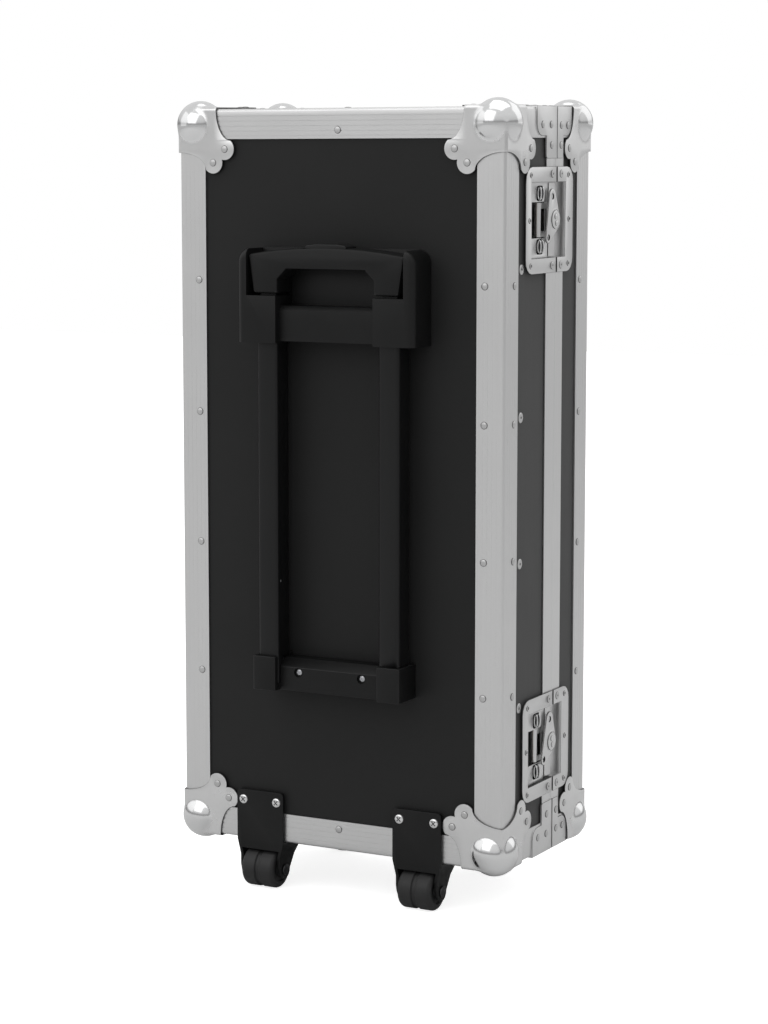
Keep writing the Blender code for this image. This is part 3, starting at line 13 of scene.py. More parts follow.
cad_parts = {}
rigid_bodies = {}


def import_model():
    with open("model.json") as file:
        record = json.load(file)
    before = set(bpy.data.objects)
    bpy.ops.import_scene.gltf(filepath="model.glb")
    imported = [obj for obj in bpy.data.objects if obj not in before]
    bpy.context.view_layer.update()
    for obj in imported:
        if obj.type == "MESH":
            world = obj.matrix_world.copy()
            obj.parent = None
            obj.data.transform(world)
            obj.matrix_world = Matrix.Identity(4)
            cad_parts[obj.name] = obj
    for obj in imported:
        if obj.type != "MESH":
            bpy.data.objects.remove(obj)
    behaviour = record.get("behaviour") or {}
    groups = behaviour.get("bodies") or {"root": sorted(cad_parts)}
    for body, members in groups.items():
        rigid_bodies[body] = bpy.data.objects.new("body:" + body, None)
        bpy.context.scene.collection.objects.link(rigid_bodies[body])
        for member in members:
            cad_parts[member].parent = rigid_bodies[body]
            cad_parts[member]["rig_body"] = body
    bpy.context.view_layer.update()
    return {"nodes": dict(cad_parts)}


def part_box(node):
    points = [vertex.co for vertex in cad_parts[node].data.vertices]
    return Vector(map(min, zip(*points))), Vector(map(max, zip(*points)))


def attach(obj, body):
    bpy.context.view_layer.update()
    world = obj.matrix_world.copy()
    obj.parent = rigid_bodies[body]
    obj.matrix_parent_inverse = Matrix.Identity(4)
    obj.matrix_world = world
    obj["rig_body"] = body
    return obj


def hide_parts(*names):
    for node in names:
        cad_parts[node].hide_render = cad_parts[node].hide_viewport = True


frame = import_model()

X, Y, Z = Vector((1, 0, 0)), Vector((0, 1, 0)), Vector((0, 0, 1))

# camera, from a fit to the photograph
CAMERA_PLACE = (1.3023, -2.46485, 0.7546)
CAMERA_YAW = 29.385
CAMERA_PITCH = 7.023
CAMERA_ROLL = -0.185
CAMERA_LENS = 96.46
CAMERA_SHIFT = (0.0772, -0.0241)

# studio: brightness of the surroundings, what the floor adds, and name, place, size, watts
SKY = ((0.0, 0.62), (0.03, 0.34), (0.09, 0.34), (0.17, 0.76), (0.5, 0.92))
FLOOR_GLOW = 0.80
FLOOR_SIZE = 14
LAMPS = (
    ("key", (-1.0, -3.3, 2.7), 3.4, 34.0),
    ("fill", (-2.9, -1.4, 1.8), 2.6, 10.0),
    ("side", (1.7, 2.9, 2.1), 3.2, 17.0),
    ("top", (0.2, 0.0, 3.2), 2.6, 22.0),
)

# the case's faces, from the frame; the bar's front lies that far ahead of the seam
BAR_TO_SEAM = 0.0215
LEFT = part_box("base_edge_left")[0].x
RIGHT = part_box("base_edge_right")[1].x
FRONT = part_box("base_edge_left")[0].y
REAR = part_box("lid_edge_left")[1].y
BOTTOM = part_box("base_edge_bottom")[0].z
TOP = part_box("base_edge_top")[1].z
MIDDLE = (BOTTOM + TOP) / 2
SEAM = (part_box("base_closure_bar")[0].y + BAR_TO_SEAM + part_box("lid_closure_bar")[0].y) / 2
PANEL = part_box("base_walls")[1].x

# halves, sides and levels of the case, each with its face and which way is out
HALVES = (("base", FRONT, -1), ("lid", REAR, 1))
SIDES = (("left", LEFT, -1), ("right", RIGHT, 1))
LEVELS = (("top", TOP, 1), ("bottom", BOTTOM, -1))

# edge profiles, with grooves rolled into them that are measured from the corner
EDGE_LEG = 0.030
EDGE_END = 0.032
SHEET = 0.0015
CORNER_RADIUS = 0.003
GROOVES = (0.0075, 0.0125, 0.0175, 0.0225, 0.0270)
GROOVE_WIDTH = 0.0009
GROOVE_DEPTH = 0.0006
FAINT_GROOVE = 0.00006

# how the finish of a face is told from its place
THIN_EDGE = 0.00065
OUTSIDE_SKIN = 0.0002
SEAM_OPENING = 0.0007
PANEL_INSET = 0.003
BOARD_INSET = 0.004

# handle
HANDLE_X = (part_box("handle_housing")[0].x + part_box("handle_housing")[1].x) / 2
EAR_RADIUS = 0.014
OUTSIDE_RADIUS = 0.0072
MOULD_SKIN = 0.00004
MOULD_OVER = 0.001
BRIDGE_FRONT = FRONT - 0.026

# wheels and feet; hub as (radius, depth from the wheel's side), groove as (depth, half width)
TREAD_FLAT = 0.001
TREAD_TURN = 0.0045
HUB_STEPS = ((0.0043, 0.0), (0.0070, 0.0), (0.0075, 0.0018), (0.0125, 0.0020), (0.0135, 0.0002))
TREAD_GROOVE = ((0.0, 0.0031), (0.0004, 0.0026), (0.0016, 0.0020), (0.0016, 0.0))
FOOT_COLLAR = 0.003
FOOT_TAPER = 0.002
FOOT_TURN = 0.004

# butterflies: tips at (degrees from the long axis, distance, radius), boss as (radius, rise) in mm
TWIST_FROM_SEAM = 0.0025
WING_FACE = 0.0009
WING_SHEET = 0.0015
WING_RIM = 0.0112
WING_TIPS = ((61.5, 0.0232, 0.0060), (-61.5, 0.0236, 0.0078))
WING_TILT = {"upper": 13.0, "lower": 19.0}
WING_HOLE = 0.0028
BOSS = ((0.0, 0.8), (5.6, 0.8), (8.4, 1.0), (9.0, 0.8), (9.3, 0.1), (9.4, -0.25), (10.1, -0.25),
        (10.3, 0.25), (10.7, 0.3), (11.0, 0.05), (11.05, -0.4), (0.0, -0.4))
# radii of the groove round the boss, painted dark as shade
BOSS_SHADED_GROOVE = (0.0089, 0.0103)
KNOB = 0.0030
KNOB_RISE = 0.0007
KNOB_SPOTS = ((0.0012, -0.0036), (-0.0006, 0.0030))
HUB = 0.0045
CRANK = 0.0015
CRANK_SPOT = (-0.0018263, -0.0023801)
CARRIER_BOTTOM = 0.0057

# what is moved in the latches: the recess's far wall, and the carrier's head at its edge
RECESS_FROM_EDGE = 0.0165
RECESS_WIDER = 0.0033
WALL_BEHIND, WALL_AHEAD = 0.0015, 0.0003
HEAD_EDGE = 0.0119
HEAD_SPAN = 0.0006
HEAD_SHORTER = 0.0044

# the recess's inside, painted dark as shade: half its height, its floor, back and far wall, and
# where its tabs end
RECESS_HALF = 0.0376
RECESS_FLOOR = 0.0138
RECESS_BACK = 0.0151
RECESS_FAR = 0.0596
TAB_BACK = 0.0045
TAB_END = 0.0128

# strips of painted shade in the seam of the latch flanges: ends, depths and widths, from the
# flange's edges
STRIP_ENDS = (0.0004, 0.0145)
STRIP_DEPTHS = (-0.0004, 0.0003)
STRIP_WIDTHS = (0.0016, 0.0001)

# latch spring: loops in the tabs' slots, the wire behind the carrier, and a leg at each end of it
PIN_FROM_SEAM = 0.0287
SPRING_SHIFT = 0.0021
COIL_MIDDLE = 0.0260
LOOP = 0.0062
LOOP_WIRE = 0.0009
LOOP_NARROWER = 0.0044
LOOP_DEPTH = 0.0021
LOOP_APART = 0.0031
WIRE = 0.0008
WIRE_LENGTH = 0.062
WIRE_DEPTH = 0.0126
LEG_LENGTH = 0.0098
LEG_DEPTH = 0.0077
LEG_MIDDLE = 0.0302

# rivets: radius of each kind, and places
RIVET = 0.0038
LARGE_RIVET = 0.0056
HOLLOW_RIVET = 0.0031
SEAM_RIVET = 0.0042
TUBE_RIVET = 0.0014
RIVET_RISE = 0.34
HEAD_SUNK = 0.0001
RIVET_LINE = 0.0215
PROFILE_RIVETS = (-0.201, -0.067, 0.067, 0.201)
FLOOR_RIVETS = (-0.216, -0.072, 0.072, 0.216)
FLOOR_RIVET_LINE = 0.040
TUBE_RIVET_SPOT = (HANDLE_X - 0.0565, FRONT - 0.024, 0.3255)

# brace rivets: (distance from the seam, drop from the edge); the base's lie ahead of the seam
BRACE_SHEET = 0.0012
BRACE_RIVETS = {"base": ((-0.034, 0.017), (-0.014, 0.017), (-0.013, 0.037)),
                "lid": ((0.010, 0.0175), (0.0255, 0.0175), (0.0095, 0.037))}

# latch rivets: their columns, and half the distance between the rows
LATCH_PROUD = 0.0015
LATCH_ROW = 0.044
SEAM_ROW = 1.02 * LATCH_ROW
DISH_FAR, DISH_MIDDLE, DISH_NEAR = 0.0115, 0.0085, 0.0105
KEEPER_FAR, KEEPER_MIDDLE, KEEPER_NEAR = 0.0275, 0.0290, 0.0100

# screws; their cross recess in shares of the radius
SCREW = 0.0052
SCREW_SLOT = (0.9 / 1.6, 0.17 / 1.6)
SLOT_BOTTOM = 0.16
WHEEL_SCREW_X = 0.0193
WHEEL_SCREW_RISE = 0.0415
WHEEL_BRACKET_PROUD = 0.0038
BRIDGE_SCREW = 0.0034
BRIDGE_SCREW_X = 0.0357
BRIDGE_SCREW_Z = BOTTOM + 0.184
SINK_RADIUS = 0.0048
SINK_DEPTH = 0.0022

# ball corners, in distances inward from the case's corner
BALL = 0.024
BALL_INSET = 0.0155
BALL_BLEND = 0.0026
BALL_SKIN = 0.0008
FLANGE = 0.0015
FLANGE_GAP = 0.0003
FLANGE_REACH = 0.0435
FOLD = 0.0033
TIP = 0.013
LOBE_FAR = 0.0535
LOBE_NEAR = 0.040
LOBE = 0.011
LOBE_START = 50
GRID_STEP = 0.0013
GRID_END = 0.040


# handling of objects and meshes


def deselect():
    """Leave edit mode and select nothing."""
    if bpy.context.object and bpy.context.object.mode != "OBJECT":
        bpy.ops.object.mode_set(mode="OBJECT")
    bpy.ops.object.select_all(action="DESELECT")


def only(obj):
    """Make one object the active and only selected one."""
    deselect()
    obj.select_set(True)
    bpy.context.view_layer.objects.active = obj
    return obj


def edit(obj):
    """Go into edit mode on one object."""
    only(obj)
    bpy.ops.object.mode_set(mode="EDIT")


def done():
    """Back to object mode."""
    bpy.ops.object.mode_set(mode="OBJECT")


def pick(obj, kind, test):
    """In edit mode, select the vertices, edges or faces that pass a test."""
    bpy.ops.mesh.select_mode(type=kind)
    bpy.ops.mesh.select_all(action="DESELECT")
    mesh = bmesh.from_edit_mesh(obj.data)
    for element in {"VERT": mesh.verts, "EDGE": mesh.edges, "FACE": mesh.faces}[kind]:
        if test(element):
            element.select_set(True)
    mesh.select_flush_mode()
    bmesh.update_edit_mesh(obj.data)


def pick_all():
    """In edit mode, select everything."""
    bpy.ops.mesh.select_all(action="SELECT")


def cut(point, normal):
    """In edit mode, a new edge loop where a plane crosses the whole mesh."""
    pick_all()
    bpy.ops.mesh.bisect(plane_co=point, plane_no=normal)


def apply_modifier(obj, kind, **settings):
    """Add one modifier, set it and apply it."""
    only(obj)
    modifier = obj.modifiers.new(kind.lower(), kind)
    for key, value in settings.items():
        setattr(modifier, key, value)
    bpy.ops.object.modifier_apply(modifier=modifier.name)
    return obj


def middle_of(node):
    """Middle of a CAD node's box."""
    return Vector((low + high) / 2 for low, high in zip(*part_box(node)))


def mark_rim(obj, test):
    """Note on the mesh which faces belong to its cut edges, grooves and seams; aluminium and
    blackened steel tint them as rubbed wear, plastic as a painted highlight, zinc as painted
    shade.
    """
    mesh = obj.data
    rim = mesh.attributes.get("rim") or mesh.attributes.new("rim", "FLOAT", "CORNER")
    for face in mesh.polygons:
        if test(face):
            for corner in face.loop_indices:
                rim.data[corner].value = 1.0
    return obj


def thin_face(face):
    """True for a long face narrower than a sheet's edge."""
    lengths = [(face.id_data.vertices[a].co - face.id_data.vertices[b].co).length
               for a, b in face.edge_keys]
    return 2 * face.area / sum(lengths) < THIN_EDGE


def bevel(obj, width, segments=2, angle=30):
    """Round the outward edges sharper than an angle, and mark the new faces as rim."""
    while len(obj.data.materials) < 2:
        obj.data.materials.append(None)
    for face in obj.data.polygons:
        face.material_index = 0
    mesh = bmesh.new()
    mesh.from_mesh(obj.data)
    sharp = [float(len(e.link_faces) == 2 and e.calc_face_angle_signed() > math.radians(angle))
             for e in mesh.edges]
    mesh.free()
    weights = obj.data.attributes.new("bevel_weight_edge", "FLOAT", "EDGE")
    weights.data.foreach_set("value", sharp)
    apply_modifier(obj, "BEVEL", width=width, segments=segments, limit_method="WEIGHT",
                   use_clamp_overlap=True, material=1)
    mark_rim(obj, lambda face: face.material_index == 1)
    for face in obj.data.polygons:
        face.material_index = 0
    obj.data.attributes.remove(obj.data.attributes["bevel_weight_edge"])
    return obj


def boolean(obj, tool, operation):
    """Union with, or cut by, a tool that is then removed."""
    apply_modifier(obj, "BOOLEAN", object=tool, operation=operation, solver="EXACT")
    bpy.data.objects.remove(tool, do_unlink=True)
    return obj


def outward(obj):
    """Merge doubled points and turn every face outwards."""
    edit(obj)
    pick_all()
    bpy.ops.mesh.remove_doubles(threshold=1e-6)
    bpy.ops.mesh.normals_make_consistent(inside=False)
    done()
    return obj


def flip(obj):
    """Turn every face of a mesh round."""
    edit(obj)
    pick_all()
    bpy.ops.mesh.flip_normals()
    done()


def smooth(obj, angle=32):
    """Smooth shading with sharp edges kept."""
    only(obj)
    bpy.ops.object.shade_smooth_by_angle(angle=math.radians(angle))
    return obj


def bake_place(obj):
    """Put an object's place, turn and scale into its mesh."""
    only(obj)
    bpy.ops.object.transform_apply(location=True, rotation=True, scale=True)
    return obj


def place(obj, origin, a, b, c):
    """Carry a piece's own X, Y and Z to three directions at a point; mirrored ones are mended."""
    turn = Matrix((a, b, c)).transposed()
    obj.matrix_world = Matrix.Translation(origin) @ turn.to_4x4()
    bake_place(obj)
    if turn.determinant() < 0:
        flip(obj)
    return obj


def copy_of(obj, name):
    """A copy with its own mesh."""
    twin = obj.copy()
    twin.data = obj.data.copy()
    twin.name = name
    bpy.context.scene.collection.objects.link(twin)
    return twin


def join(name, objects):
    """One object from several."""
    deselect()
    for obj in objects:
        obj.select_set(True)
    bpy.context.view_layer.objects.active = objects[0]
    if len(objects) > 1:
        bpy.ops.object.join()
    objects[0].name = name
    return objects[0]


def finish_piece(obj, body, material, replaced=(), angle=32):
    """Shading, material and body of a finished piece."""
    bake_place(obj)
    smooth(obj, angle)
    obj.data.materials.clear()
    obj.data.materials.append(material)
    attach(obj, body)
    if replaced:
        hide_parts(*replaced)
    return obj


def block(name, low, high):
    """A box between two corners."""
    low, high = Vector(low), Vector(high)
    deselect()
    bpy.ops.mesh.primitive_cube_add(size=1, location=(low + high) / 2)
    obj = bpy.context.object
    obj.name = name
    obj.dimensions = high - low
    return bake_place(obj)


def disc(name, centre, axis, radius, depth, sides=32):
    """A round bar about a centre, along an axis."""
    deselect()
    turn = Vector(axis).to_track_quat("Z", "Y").to_euler()
    bpy.ops.mesh.primitive_cylinder_add(vertices=sides, radius=radius, depth=depth,
                                        location=centre, rotation=turn)
    obj = bpy.context.object
    obj.name = name
    return bake_place(obj)


def spun(name, profile, centre, axis, steps=48):
    """A body turned from (radius, height) points, closed at the axis or as a ring."""
    deselect()
    bpy.ops.mesh.primitive_plane_add(size=0.001)
    obj = bpy.context.object
    obj.name = name
    edit(obj)
    pick_all()
    bpy.ops.mesh.delete(type="VERT")
    mesh = bmesh.from_edit_mesh(obj.data)
    points = [mesh.verts.new((r, 0.0, h)) for r, h in profile]
    for one, two in zip(points, points[1:]):
        mesh.edges.new((one, two))
    if profile[0][0] > 0.0:
        mesh.edges.new((points[-1], points[0]))
    bmesh.update_edit_mesh(obj.data)
    pick_all()
    bpy.ops.mesh.spin(steps=steps, angle=2 * math.pi, center=(0, 0, 0), axis=(0, 0, 1))
    done()
    return stand(outward(obj), centre, axis)


def stand(obj, centre, axis):
    """Stand a piece that is round about its own Z on a point, along an axis."""
    up = Vector(axis).normalized()
    side = up.orthogonal().normalized()
    return place(obj, centre, side, up.cross(side), up)


# node groups


def new_group(name, inputs, output):
    """A shader node group with a place as input, named values or vectors, and one output."""
    group = bpy.data.node_groups.new(name, "ShaderNodeTree")
    group.interface.new_socket("Vector", in_out="INPUT", socket_type="NodeSocketVector")
    for label, value in inputs:
        kind = "NodeSocketFloat" if isinstance(value, float) else "NodeSocketVector"
        group.interface.new_socket(label, in_out="INPUT", socket_type=kind).default_value = value
    group.interface.new_socket(output, in_out="OUTPUT", socket_type="NodeSocketFloat")
    given = group.nodes.new("NodeGroupInput").outputs
    return group, given, group.nodes.new("NodeGroupOutput").inputs[output]


def math_node(tree, operation, one, two, clamp=False):
    """A Math node whose inputs are sockets or numbers."""
    node = tree.nodes.new("ShaderNodeMath")
    node.operation = operation
    node.use_clamp = clamp
    for index, value in enumerate((one, two)):
        if isinstance(value, (int, float)):
            node.inputs[index].default_value = value
        else:
            tree.links.new(value, node.inputs[index])
    return node.outputs[0]


def noise_node(group, vector, scale, detail, roughness=0.5):
    """Noise at a vector and a scale."""
    node = group.nodes.new("ShaderNodeTexNoise")
    node.inputs["Detail"].default_value = detail
    node.inputs["Roughness"].default_value = roughness
    group.links.new(vector, node.inputs["Vector"])
    group.links.new(scale, node.inputs["Scale"])
    return node.outputs["Fac"]


def grain_group():
    """Fine pitted grain: moulded plastic, laminate, rubber."""
    group, given, height = new_group("grain", [("Scale", 900.0)], "Height")
    noise = noise_node(group, given["Vector"], given["Scale"], 3.0)
    cells = group.nodes.new("ShaderNodeTexVoronoi")
    group.links.new(given["Vector"], cells.inputs["Vector"])
    group.links.new(given["Scale"], cells.inputs["Scale"])
    pits = math_node(group, "MULTIPLY", cells.outputs["Distance"], 0.5)
    total = math_node(group, "ADD", math_node(group, "MULTIPLY", noise, 0.6), pits)
    group.links.new(total, height)
    return group


def streak_group():
    """Long fine lines along one axis, from drawing, rolling or rubbing."""
    group, given, mask = new_group(
        "streaks", [("Stretch", (1.0, 1.0, 0.02)), ("Scale", 500.0)], "Mask")
    scaled = group.nodes.new("ShaderNodeVectorMath")
    scaled.operation = "MULTIPLY"
    group.links.new(given["Vector"], scaled.inputs[0])
    group.links.new(given["Stretch"], scaled.inputs[1])
    group.links.new(noise_node(group, scaled.outputs[0], given["Scale"], 4.0, 0.65), mask)
    return group


def cloud_group():
    """Soft large patches, as of handling marks or uneven plating."""
    group, given, mask = new_group(
        "clouds", [("Scale", 14.0), ("Low", 0.4), ("High", 0.7)], "Mask")
    noise = noise_node(group, given["Vector"], given["Scale"], 5.0, 0.6)
    span = group.nodes.new("ShaderNodeMapRange")
    group.links.new(noise, span.inputs["Value"])
    group.links.new(given["Low"], span.inputs["From Min"])
    group.links.new(given["High"], span.inputs["From Max"])
    group.links.new(span.outputs["Result"], mask)
    return group


def wear_group():
    """Cut edges, as noted on the mesh, broken up by noise: wear on aluminium and blackened steel,
    painted shade on zinc, a painted highlight on plastic.
    """
    group, given, mask = new_group("edge wear", [("Scale", 90.0), ("Evenness", 0.2)], "Mask")
    rim = group.nodes.new("ShaderNodeAttribute")
    rim.attribute_name = "rim"
    noise = noise_node(group, given["Vector"], given["Scale"], 4.0)
    broken = math_node(group, "ADD", noise, given["Evenness"])
    group.links.new(math_node(group, "MULTIPLY", rim.outputs["Fac"], broken, clamp=True), mask)
    return group


GRAIN, STREAKS, CLOUDS, WEAR_AND_PAINTED_RIM_LIGHT = grain_group(), streak_group(), cloud_group(), wear_group()


class Finish:
    """A Principled material that is put together from the groups above."""

    def __init__(self, name, colour, roughness, metallic=0.0, specular=0.5):
        self.material = bpy.data.materials.new(name)
        self.material.use_nodes = True
        self.tree = self.material.node_tree
        self.shader = self.tree.nodes["Principled BSDF"]
        self.shader.inputs["Base Color"].default_value = (*colour, 1.0)
        self.shader.inputs["Roughness"].default_value = roughness
        self.shader.inputs["Metallic"].default_value = metallic
        self.shader.inputs["Specular IOR Level"].default_value = specular
        self.coords = self.tree.nodes.new("ShaderNodeTexCoord").outputs["Object"]
        self.bump_normal = None

    def group(self, group, **values):
        """Place a node group, set its numbers, and give back its one output."""
        node = self.tree.nodes.new("ShaderNodeGroup")
        node.node_tree = group
        self.tree.links.new(self.coords, node.inputs["Vector"])
        for key, value in values.items():
            node.inputs[key].default_value = value
        return node.outputs[0]

    def tint(self, mask, colour, amount):
        """Mix the colour so far towards another one where the mask is high."""
        mix = self.tree.nodes.new("ShaderNodeMix")
        mix.data_type = "RGBA"
        base = self.shader.inputs["Base Color"]
        if base.links:
            self.tree.links.new(base.links[0].from_socket, mix.inputs["A"])
        else:
            mix.inputs["A"].default_value = base.default_value
        mix.inputs["B"].default_value = (*colour, 1.0)
        share = math_node(self.tree, "MULTIPLY", mask, amount, clamp=True)
        self.tree.links.new(share, mix.inputs["Factor"])
        self.tree.links.new(mix.outputs["Result"], base)

    def rough(self, mask, low, high):
        """Roughness that runs from low to high with the mask, in the mean with any before."""
        span = self.tree.nodes.new("ShaderNodeMapRange")
        span.inputs["To Min"].default_value = low
        span.inputs["To Max"].default_value = high
        self.tree.links.new(mask, span.inputs["Value"])
        socket = self.shader.inputs["Roughness"]
        result = span.outputs["Result"]
        if socket.links:
            result = math_node(self.tree, "ADD", socket.links[0].from_socket, result)
            result = math_node(self.tree, "MULTIPLY", result, 0.5)
        self.tree.links.new(result, socket)

    def bump(self, height, strength, distance):
        """One more bump under the ones so far."""
        node = self.tree.nodes.new("ShaderNodeBump")
        node.inputs["Strength"].default_value = strength
        node.inputs["Distance"].default_value = distance
        self.tree.links.new(height, node.inputs["Height"])
        if self.bump_normal:
            self.tree.links.new(self.bump_normal, node.inputs["Normal"])
        self.bump_normal = node.outputs["Normal"]
        self.tree.links.new(self.bump_normal, self.shader.inputs["Normal"])


# finishes


def black_laminate():
    """Smooth matt black laminate with a faint pebble and a few light scuffs."""
    finish = Finish("black_laminate", (0.0036, 0.0037, 0.0037), 0.5, specular=0.16)
    finish.shader.inputs["Sheen Weight"].default_value = 0.16
    finish.shader.inputs["Sheen Roughness"].default_value = 0.55
    grain = finish.group(GRAIN, Scale=1400.0)
    clouds = finish.group(CLOUDS, Scale=9.0, Low=0.35, High=0.75)
    scuffs = finish.group(STREAKS, Scale=160.0, Stretch=(1.0, 1.0, 0.08))
    finish.tint(clouds, (0.0068, 0.0069, 0.0069), 0.6)
    finish.rough(clouds, 0.44, 0.58)
    finish.rough(scuffs, 0.42, 0.60)
    finish.bump(grain, 0.12, 0.0002)
    return finish.material


def plywood():
    """Bare plywood for the boards inside."""
    finish = Finish("plywood", (0.42, 0.29, 0.17), 0.62, specular=0.35)
    fibre = finish.group(STREAKS, Scale=240.0, Stretch=(1.0, 1.0, 0.03))
    bands = finish.group(STREAKS, Scale=26.0, Stretch=(1.0, 1.0, 0.06))
    finish.tint(bands, (0.27, 0.165, 0.085), 0.75)
    finish.tint(fibre, (0.20, 0.12, 0.06), 0.35)
    finish.rough(fibre, 0.5, 0.75)
    finish.bump(fibre, 0.25, 0.0003)
    return finish.material


def drawn_aluminium(name, stretch):
    """Satin anodised profile, with lines from the die along its length."""
    finish = Finish(name, (0.60, 0.60, 0.60), 0.36, metallic=1.0)
    lines = finish.group(STREAKS, Scale=900.0, Stretch=stretch)
    clouds = finish.group(CLOUDS, Scale=16.0, Low=0.35, High=0.8)
    rim_mask = finish.group(WEAR_AND_PAINTED_RIM_LIGHT, Scale=150.0)
    finish.tint(lines, (0.53, 0.53, 0.53), 0.45)
    finish.tint(clouds, (0.555, 0.555, 0.555), 0.35)
    finish.tint(rim_mask, (0.68, 0.68, 0.68), 0.5)
    finish.rough(lines, 0.30, 0.46)
    finish.rough(clouds, 0.32, 0.44)
    finish.bump(lines, 0.10, 0.00015)
    return finish.material


def zinc_plate(name, roughness, colour=(0.58, 0.582, 0.583)):
    """Bright zinc on pressed steel: uneven sheen, fine scratches, painted shade along cut edges,
    seams, grooves and rivet rims.
    """
    finish = Finish(name, colour, roughness, metallic=1.0)
    clouds = finish.group(CLOUDS, Scale=38.0, Low=0.3, High=0.75)
    patches = finish.group(CLOUDS, Scale=11.0, Low=0.4, High=0.7)
    scratches = finish.group(STREAKS, Scale=620.0, Stretch=(1.0, 0.05, 0.4))
    rim_shade = finish.group(WEAR_AND_PAINTED_RIM_LIGHT, Scale=60.0, Evenness=0.5)
    finish.tint(clouds, tuple(0.90 * c for c in colour), 0.5)
    finish.tint(patches, tuple(0.94 * c for c in colour), 0.6)
    # painted shade: the marked rims are darkened where shade falls along edges and in crevices
    finish.tint(rim_shade, (0.060, 0.059, 0.058), 0.9)
    finish.rough(clouds, 0.85 * roughness, 1.2 * roughness)
    finish.rough(scratches, 0.85 * roughness, 1.2 * roughness)
    finish.bump(patches, 0.04, 0.0005)
    finish.bump(scratches, 0.02, 0.0001)
    return finish.material


def plain_steel():
    """Turned steel of pins, rods, axles and spring wire."""
    finish = Finish("plain_steel", (0.42, 0.425, 0.44), 0.28, metallic=1.0)
    lines = finish.group(STREAKS, Scale=700.0, Stretch=(0.05, 1.0, 1.0))
    clouds = finish.group(CLOUDS, Scale=40.0)
    finish.tint(clouds, (0.33, 0.335, 0.35), 0.6)
    finish.rough(lines, 0.2, 0.4)
    finish.bump(lines, 0.08, 0.0001)
    return finish.material


def moulded_plastic():
    """Black moulding with a spark-eroded grain and a painted highlight along its edges."""
    finish = Finish("moulded_plastic", (0.0038, 0.0039, 0.0040), 0.40, specular=0.21)
    grain = finish.group(GRAIN, Scale=1100.0)
    clouds = finish.group(CLOUDS, Scale=22.0, Low=0.35, High=0.75)
    rim_mask = finish.group(WEAR_AND_PAINTED_RIM_LIGHT, Scale=120.0)
    finish.tint(clouds, (0.0065, 0.0066, 0.0067), 0.5)
    # painted highlight: the marked rims are lightened
    finish.tint(rim_mask, (0.022, 0.022, 0.0225), 0.5)
    finish.rough(clouds, 0.36, 0.52)
    finish.rough(grain, 0.38, 0.52)
    finish.bump(grain, 0.22, 0.00025)
    return finish.material


def coated_tube():
    """Semi-matt black coating on the handle's tubes, with faint lines along them."""
    finish = Finish("coated_tube", (0.0042, 0.0043, 0.0045), 0.34, specular=0.24)
    lines = finish.group(STREAKS, Scale=800.0, Stretch=(1.0, 1.0, 0.01))
    clouds = finish.group(CLOUDS, Scale=18.0)
    finish.tint(clouds, (0.0058, 0.0059, 0.0061), 0.5)
    finish.rough(lines, 0.28, 0.42)
    finish.bump(lines, 0.05, 0.0001)
    return finish.material


def wheel_tread():
    """Dark grey tread, dusty and scuffed."""
    finish = Finish("wheel_tread", (0.014, 0.014, 0.0145), 0.55, specular=0.3)
    grain = finish.group(GRAIN, Scale=700.0)
    clouds = finish.group(CLOUDS, Scale=70.0, Low=0.45, High=0.75)
    scuffs = finish.group(STREAKS, Scale=420.0, Stretch=(0.15, 1.0, 1.0))
    finish.tint(clouds, (0.030, 0.029, 0.028), 0.4)
    finish.tint(scuffs, (0.024, 0.024, 0.024), 0.3)
    finish.rough(clouds, 0.48, 0.7)
    finish.bump(grain, 0.2, 0.0003)
    return finish.material


def painted_shade_plate():
    """Painted shade: bare near-black steel, dull and uneven, for the inside of a latch's recess,
    the butterflies' holes and the seam strips.
    """
    finish = Finish("painted_shade_plate", (0.012, 0.012, 0.012), 0.5, specular=0.15)
    clouds = finish.group(CLOUDS, Scale=60.0)
    grain = finish.group(GRAIN, Scale=900.0)
    finish.tint(clouds, (0.02, 0.0195, 0.019), 0.5)
    finish.rough(clouds, 0.45, 0.65)
    finish.bump(grain, 0.15, 0.0002)
    return finish.material


def blackened_steel():
    """Axle ends in black oxide, rubbed brighter at the rim."""
    finish = Finish("blackened_steel", (0.045, 0.045, 0.047), 0.42, metallic=1.0)
    clouds = finish.group(CLOUDS, Scale=120.0)
    rim_mask = finish.group(WEAR_AND_PAINTED_RIM_LIGHT, Scale=200.0)
    finish.tint(clouds, (0.03, 0.03, 0.031), 0.6)
    finish.tint(rim_mask, (0.16, 0.16, 0.165), 0.6)
    finish.rough(clouds, 0.36, 0.55)
    return finish.material


LAMINATE = black_laminate()
PLYWOOD = plywood()
ALUMINIUM_UP = drawn_aluminium("drawn_aluminium_upright", (1.0, 1.0, 0.012))
ALUMINIUM_ACROSS = drawn_aluminium("drawn_aluminium_across", (0.012, 1.0, 1.0))
ZINC = zinc_plate("zinc_plate", 0.27)
BRIGHT_ZINC = zinc_plate("bright_zinc", 0.15, (0.66, 0.662, 0.664))
# painted shade for the latch recesses, the butterflies' holes and the flanges' seam
PAINTED_SHADE = painted_shade_plate()
RIVET_ZINC = zinc_plate("rivet_zinc", 0.40, (0.48, 0.48, 0.48))
CORNER_ZINC = zinc_plate("corner_zinc", 0.29, (0.63, 0.63, 0.63))
SATIN_ZINC = zinc_plate("satin_zinc", 0.36, (0.60, 0.60, 0.60))
BLACK_STEEL = blackened_steel()
STEEL = plain_steel()
PLASTIC = moulded_plastic()
TUBE = coated_tube()
TREAD = wheel_tread()


# CAD nodes that keep their shape


